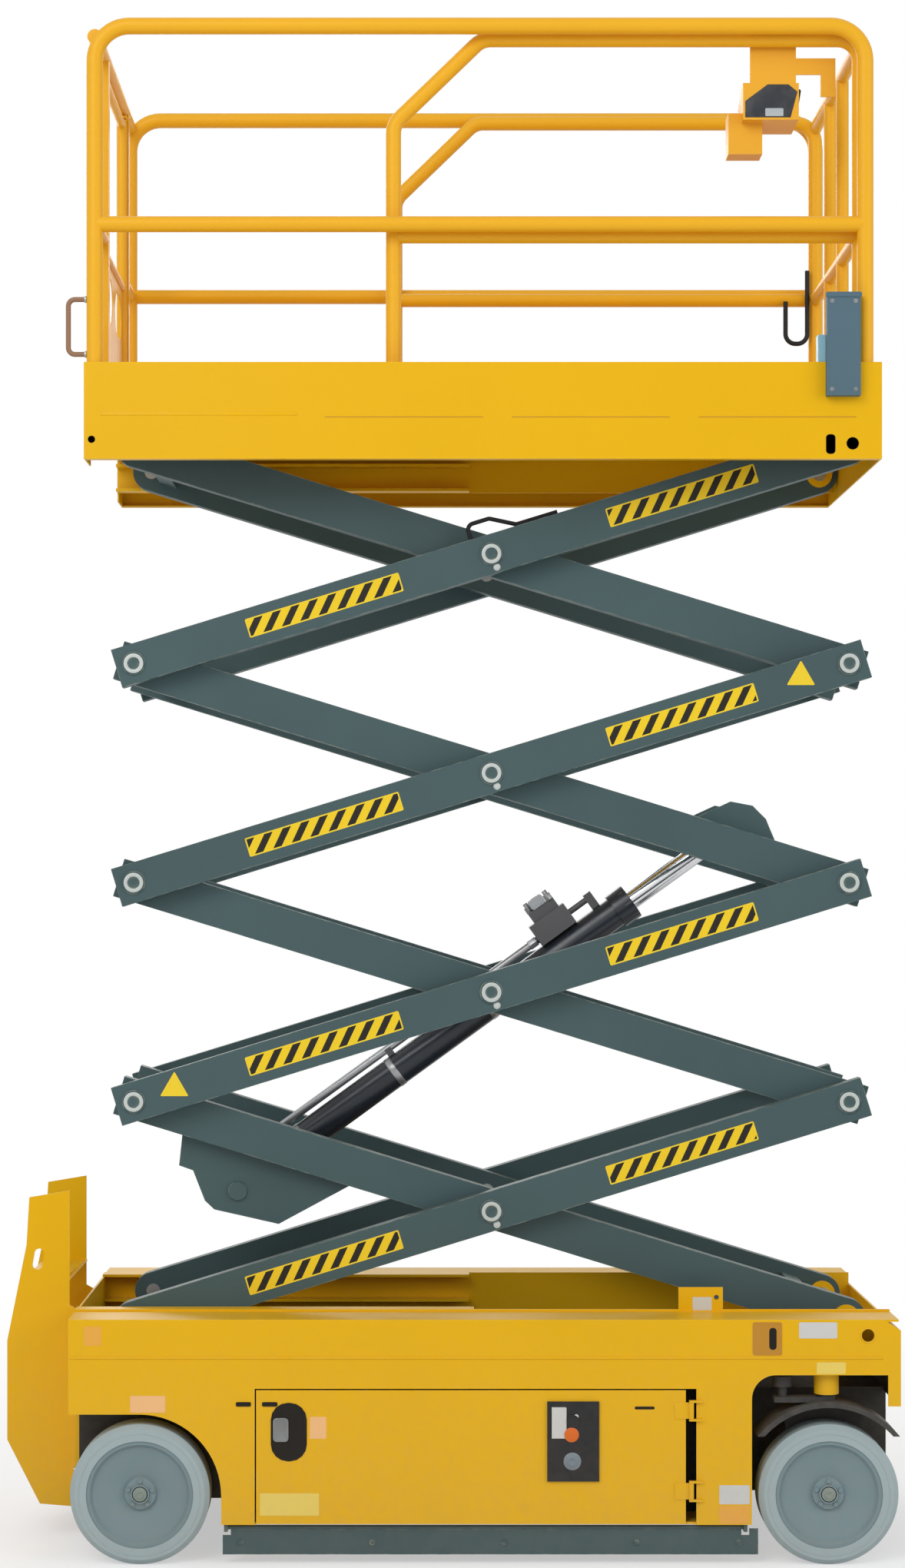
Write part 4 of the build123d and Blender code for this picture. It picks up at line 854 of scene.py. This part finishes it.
for clip_at in (0.22, 0.55, 0.88):
    clip = round_bar(f"barrel_clip_{round(clip_at * 100)}", 0.0466, 0.018, on_barrel(clip_at, 0.0, 0.0),
                     to_barrel, 48)
    sink(clip, 0.0012, -0.0006, faces_end)
    soften(clip, 0.0006, 2)
    fix(clip, "barrel", zinc)
for line_end in (0.150, 1.092):
    union = round_bar(f"line_union_{round(line_end * 1000)}", 0.0155, 0.026,
                      on_barrel(line_end, line_above, 0.0), to_barrel, 6)
    sink(union, 0.003, 0.001, faces_end)
    soften(union, 0.001, 2)
    fix(union, "barrel", zinc)
steel_line = round_bar("steel_line", 0.0116, 0.930, on_barrel(0.625, line_above, 0.0), to_barrel, 20)
sink(steel_line, 0.003, 0.001, faces_end)
soften(steel_line, 0.001, 2)
fix(steel_line, "barrel", zinc)

# Platform: folded sheet deck and toe boards in the chassis yellow, and a roll-out extension that
# slides over it. The floor is pressed in a raised diamond pattern so that it doesn't get slippery.
rib_pitch, rib_depth = 0.030, 0.0012
tread_group, tread_in, tread_out = new_group("diamond_tread", (("Pitch", "NodeSocketFloat", rib_pitch),),
                                             (("Height", "NodeSocketFloat"),))
tread_place = tread_group.nodes.new("ShaderNodeTexCoord")
tread_parts = tread_group.nodes.new("ShaderNodeSeparateXYZ")
tread_group.links.new(tread_place.outputs["Object"], tread_parts.inputs["Vector"])
tread_math = partial(tree_math, tread_group)
# two families of short ribs lie across each other, each a stretched cosine bump
tread_bumps = []
for lean in (1.0, -1.0):
    shares = []
    for way in (lean, -lean):
        slant = tread_math("MULTIPLY_ADD", tread_parts.outputs["Y"], way, tread_parts.outputs["X"])
        shares.append(tread_math("DIVIDE", slant, tread_in.outputs["Pitch"]))
    along, across = shares
    rib = tread_math("MULTIPLY", tread_math("COSINE", tread_math("MULTIPLY", along, 2.0 * pi)),
                     tread_math("COSINE", tread_math("MULTIPLY", across, pi)))
    tread_bumps.append(tread_math("MAXIMUM", rib, 0.0))
tread_faces = tread_group.nodes.new("ShaderNodeNewGeometry")
tread_up = tread_group.nodes.new("ShaderNodeSeparateXYZ")
tread_group.links.new(tread_faces.outputs["Normal"], tread_up.inputs["Vector"])
tread_flat = tread_math("GREATER_THAN", tread_up.outputs["Z"], 0.9)
tread_group.links.new(tread_math("MULTIPLY", tread_math("ADD", *tread_bumps), tread_flat),
                      tread_out.inputs["Height"])
tread_yellow = yellow.copy()
tread_yellow.name = "yellow_tread"
tread_tree = tread_yellow.node_tree
tread_peel = [node for node in tread_tree.nodes if node.type == "BUMP"][0]
tread_layer = tread_tree.nodes.new("ShaderNodeGroup")
tread_layer.node_tree = tread_group
tread_relief = tread_tree.nodes.new("ShaderNodeBump")
tread_relief.inputs["Strength"].default_value = 0.6
tread_relief.inputs["Distance"].default_value = rib_depth
tread_tree.links.new(tread_layer.outputs["Height"], tread_relief.inputs["Height"])
tread_tree.links.new(tread_peel.outputs["Normal"], tread_relief.inputs["Normal"])
tread_tree.links.new(tread_relief.outputs["Normal"], tread_tree.nodes["Principled BSDF"].inputs["Normal"])
coat_node("deck", tread_yellow)
coat_node("extension_deck", tread_yellow)

# The toe boards have a hoist hole, a slot beside it and a drain hole, dark plates that paint the holes'
# shade, a lap where two lengths of sheet meet, and three runs of seam where sheets meet, brown strips that
# paint their shadow line.
board_y = 0.545
hole_t, hole_proud = 0.0008, 0.0002
seam_z, lap_z = 3.125, 3.134
for side, side_name, _ in both_sides:
    for hole_name, x, z, radius in (("hoist", 1.110, 3.053, 0.017), ("drain", -0.966, 3.064, 0.010)):
        rim = round_bar(f"board_{hole_name}_hole_{side_name}", radius, hole_t,
                        (x, side * (board_y + hole_proud), z), to_right, 32)
        sink(rim, 0.0012, 0.0004, faces_end)
        soften(rim, 0.0001, 1)
        fix(rim, "platform", deep_shadow)
    slot = blank(f"board_slot_{side_name}", (0.026, hole_t, 0.054),
                 (1.050, side * (board_y + hole_proud), 3.051))
    round_corners(slot, 1, 0.010, 5)
    sink(slot, 0.0015, 0.0004, lambda face: abs(face.normal.y) > 0.9)
    soften(slot, 0.0001, 1)
    fix(slot, "platform", deep_shadow)
    lap = blank(f"board_lap_{side_name}", (0.537, 0.0016, 0.010), (-0.6725, side * (board_y + 0.0004), lap_z))
    soften(lap, 0.0007, 3)
    fix(lap, "platform", yellow)
    for seam_name, (seam_from, seam_to) in (("rear", (-0.330, 0.102)), ("middle", (0.180, 0.611)),
                                            ("front", (0.690, 1.120))):
        seam = blank(f"board_seam_{seam_name}_{side_name}", (seam_to - seam_from, 0.0010, 0.0022),
                     ((seam_from + seam_to) / 2, side * (board_y + hole_proud), seam_z))
        soften(seam, 0.0004, 2)
        fix(seam, "platform", shade_brown)

# Guard rails: bent round tube welded to its posts, sprayed a slightly more orange yellow. The
# extension's own rails slide inside them, and the gate at the rear turns on two pins.
rail_yellow = sprayed("rail_yellow", (0.84, 0.43, 0.016), (0.95, 0.66, 0.22), dust=0.0)
for node_name in ("guard_rails", "extension_rails", "entry_gate"):
    coat_node(node_name, rail_yellow)
coat_node("grab_handle", sprayed("handle_paint", (0.30, 0.17, 0.10), (0.5, 0.35, 0.2), dust=0.0))
handle_x, handle_y = -0.9845, -0.5182
for collar_name, collar_z in (("handle_collar_low", 3.300), ("handle_collar_high", 3.450)):
    collar = round_bar(collar_name, 0.0095, 0.005, (handle_x, handle_y, collar_z), to_rear, 24)
    sink(collar, 0.002, -0.001, faces_end)
    soften(collar, 0.0006, 2)
    fix(collar, "platform", zinc)

# Document box: a moulded plastic pocket screwed to the toe board near the front corner, with a
# thicker lip along its open top.
document_plastic = sprayed("document_plastic", (0.085, 0.15, 0.19), (0.2, 0.28, 0.3), dust=0.0, peel=0.15,
                           gloss=0.5)
coat_node("document_box", document_plastic)
pocket_face_y = -0.574
screw_x, screw_z = (1.050, 1.114), (3.196, 3.436)
lip = blank("document_lip", (0.098, 0.0034, 0.012), (sum(screw_x) / 2, pocket_face_y - 0.0008, 3.453))
soften(lip, 0.0015, 3)
fix(lip, "platform", document_plastic)
spread(bolt_head("pocket_screw", 0.004, 0.002, 0.006), "document_screws", "platform",
       [((x, pocket_face_y, z), to_right) for x in screw_x for z in screw_z], (steel_grey,))

# Outlet box: a pale blue plastic box inside the toe board, with a cover for the power socket on
# its inner side.
outlet_plastic = sprayed("outlet_plastic", (0.28, 0.50, 0.60), (0.5, 0.7, 0.75), dust=0.0)
coat_node("outlet_box", outlet_plastic)
cover = blank("outlet_cover", (0.040, 0.004, 0.075), (1.039, -0.497, 3.300))
round_corners(cover, 1, 0.006, 4)
sink(cover, 0.005, -0.0015, lambda face: face.normal.y > 0.9)
soften(cover, 0.0008, 2)
fix(cover, "platform", outlet_plastic)

# Platform controls: an enamelled steel housing hooked over the extension's rail, with a joystick
# and buttons on its sloped face and a dark panel with a pale display on the outer side.
control_enamel = sprayed("control_enamel", (0.82, 0.41, 0.03), (0.9, 0.7, 0.2), dust=0.0)
coat_node("control_box", control_enamel)
panel_dark = sprayed("panel_dark", (0.035, 0.040, 0.048), (0.12, 0.12, 0.12), dust=0.0, gloss=0.35, peel=0.0)
display_pale = sprayed("display_pale", (0.42, 0.47, 0.50), (0.5, 0.5, 0.5), dust=0.0, gloss=0.2, peel=0.0)
control_y = -0.4429
panel_t = 0.0009
panel_edge = ((0.828, 3.967), (0.953, 3.967), (0.972, 4.038), (0.947, 4.058), (0.890, 4.058), (0.828, 4.012))
bpy.ops.object.select_all(action="DESELECT")
bpy.ops.mesh.primitive_circle_add(vertices=len(panel_edge), radius=0.05, fill_type="NGON",
                                  location=(0.0, 0.0, 0.0))
side_panel = bpy.context.object
side_panel.name = "control_side_panel"
side_panel.data.name = side_panel.name
for corner, (x, z) in zip(side_panel.data.vertices, reversed(panel_edge)):
    corner.co = (x, control_y - panel_t, z)
panel_shell = side_panel.modifiers.new("shell", "SOLIDIFY")
panel_shell.thickness = panel_t
panel_shell.offset = 0.0
bpy.ops.object.modifier_apply(modifier=panel_shell.name)
face_outwards(side_panel)
soften(side_panel, 0.0003, 2)
fix(side_panel, "extension", panel_dark)
display = plate("control_display", (0.883, 0.933), (3.970, 3.992), -control_y + 0.0013, 0.0012, 0.003)
sink(display, 0.002, 0.0004)
soften(display, 0.0003, 2)
fix(display, "extension", display_pale)

# the sloped face runs from the housing's upper edge inwards and down to its lip
slope_top = Vector((0.0, control_y + 0.052, 4.062))
slope_foot = Vector((0.0, control_y + 0.168, 4.003))
slope_turn = (-asin((slope_top.z - slope_foot.z) / (slope_foot - slope_top).length), 0.0, 0.0)


def on_slope(share, x, lift=0.0):
    """A place on the sloped face, a share of the way from its upper edge to its lip."""
    out = Vector((0.0, slope_top.z - slope_foot.z, slope_foot.y - slope_top.y)).normalized()
    place = slope_top.lerp(slope_foot, share) + out * lift
    return (x, place.y, place.z)


face_plate = blank("control_face_plate", (0.140, 0.116, 0.0024), on_slope(0.5, 0.920, 0.0012), slope_turn)
round_corners(face_plate, 2, 0.008, 4)
sink(face_plate, 0.004, 0.0008)
soften(face_plate, 0.0005, 2)
fix(face_plate, "extension", panel_dark)
stick_foot = round_bar("joystick_gaiter", 0.021, 0.006, on_slope(0.55, 0.958, 0.004), slope_turn, 28)
draw_out(stick_foot, ((0.003, 0.006), (0.003, 0.006), (0.004, 0.008), (0.003, 0.016), (-0.003, 0.006),
                      (-0.002, 0.014), (0.002, 0.006), (0.004, 0.002)))
soften(stick_foot, 0.001, 2)
fix(stick_foot, "extension", black_plastic)
mushroom_rings = ((0.012, 0.006), (0.0001, 0.004), (0.0015, 0.002), (0.004, 0.0006))
button_rings = ((0.008, 0.0015), (0.0015, 0.0012), (0.001, -0.0004))
turned_button("platform_stop_button", on_slope(0.28, 0.874, 0.002), mushroom_rings, stop_red, "extension",
              slope_turn)
for button_name, share, x, finish in (
        ("lift_mode", 0.55, 0.872, vinyl_blue), ("drive_mode", 0.55, 0.898, vinyl_blue),
        ("horn", 0.80, 0.872, lever_white), ("speed", 0.80, 0.898, lever_white)):
    turned_button(f"button_{button_name}", on_slope(share, x, 0.002), button_rings, finish, "extension",
                  slope_turn)
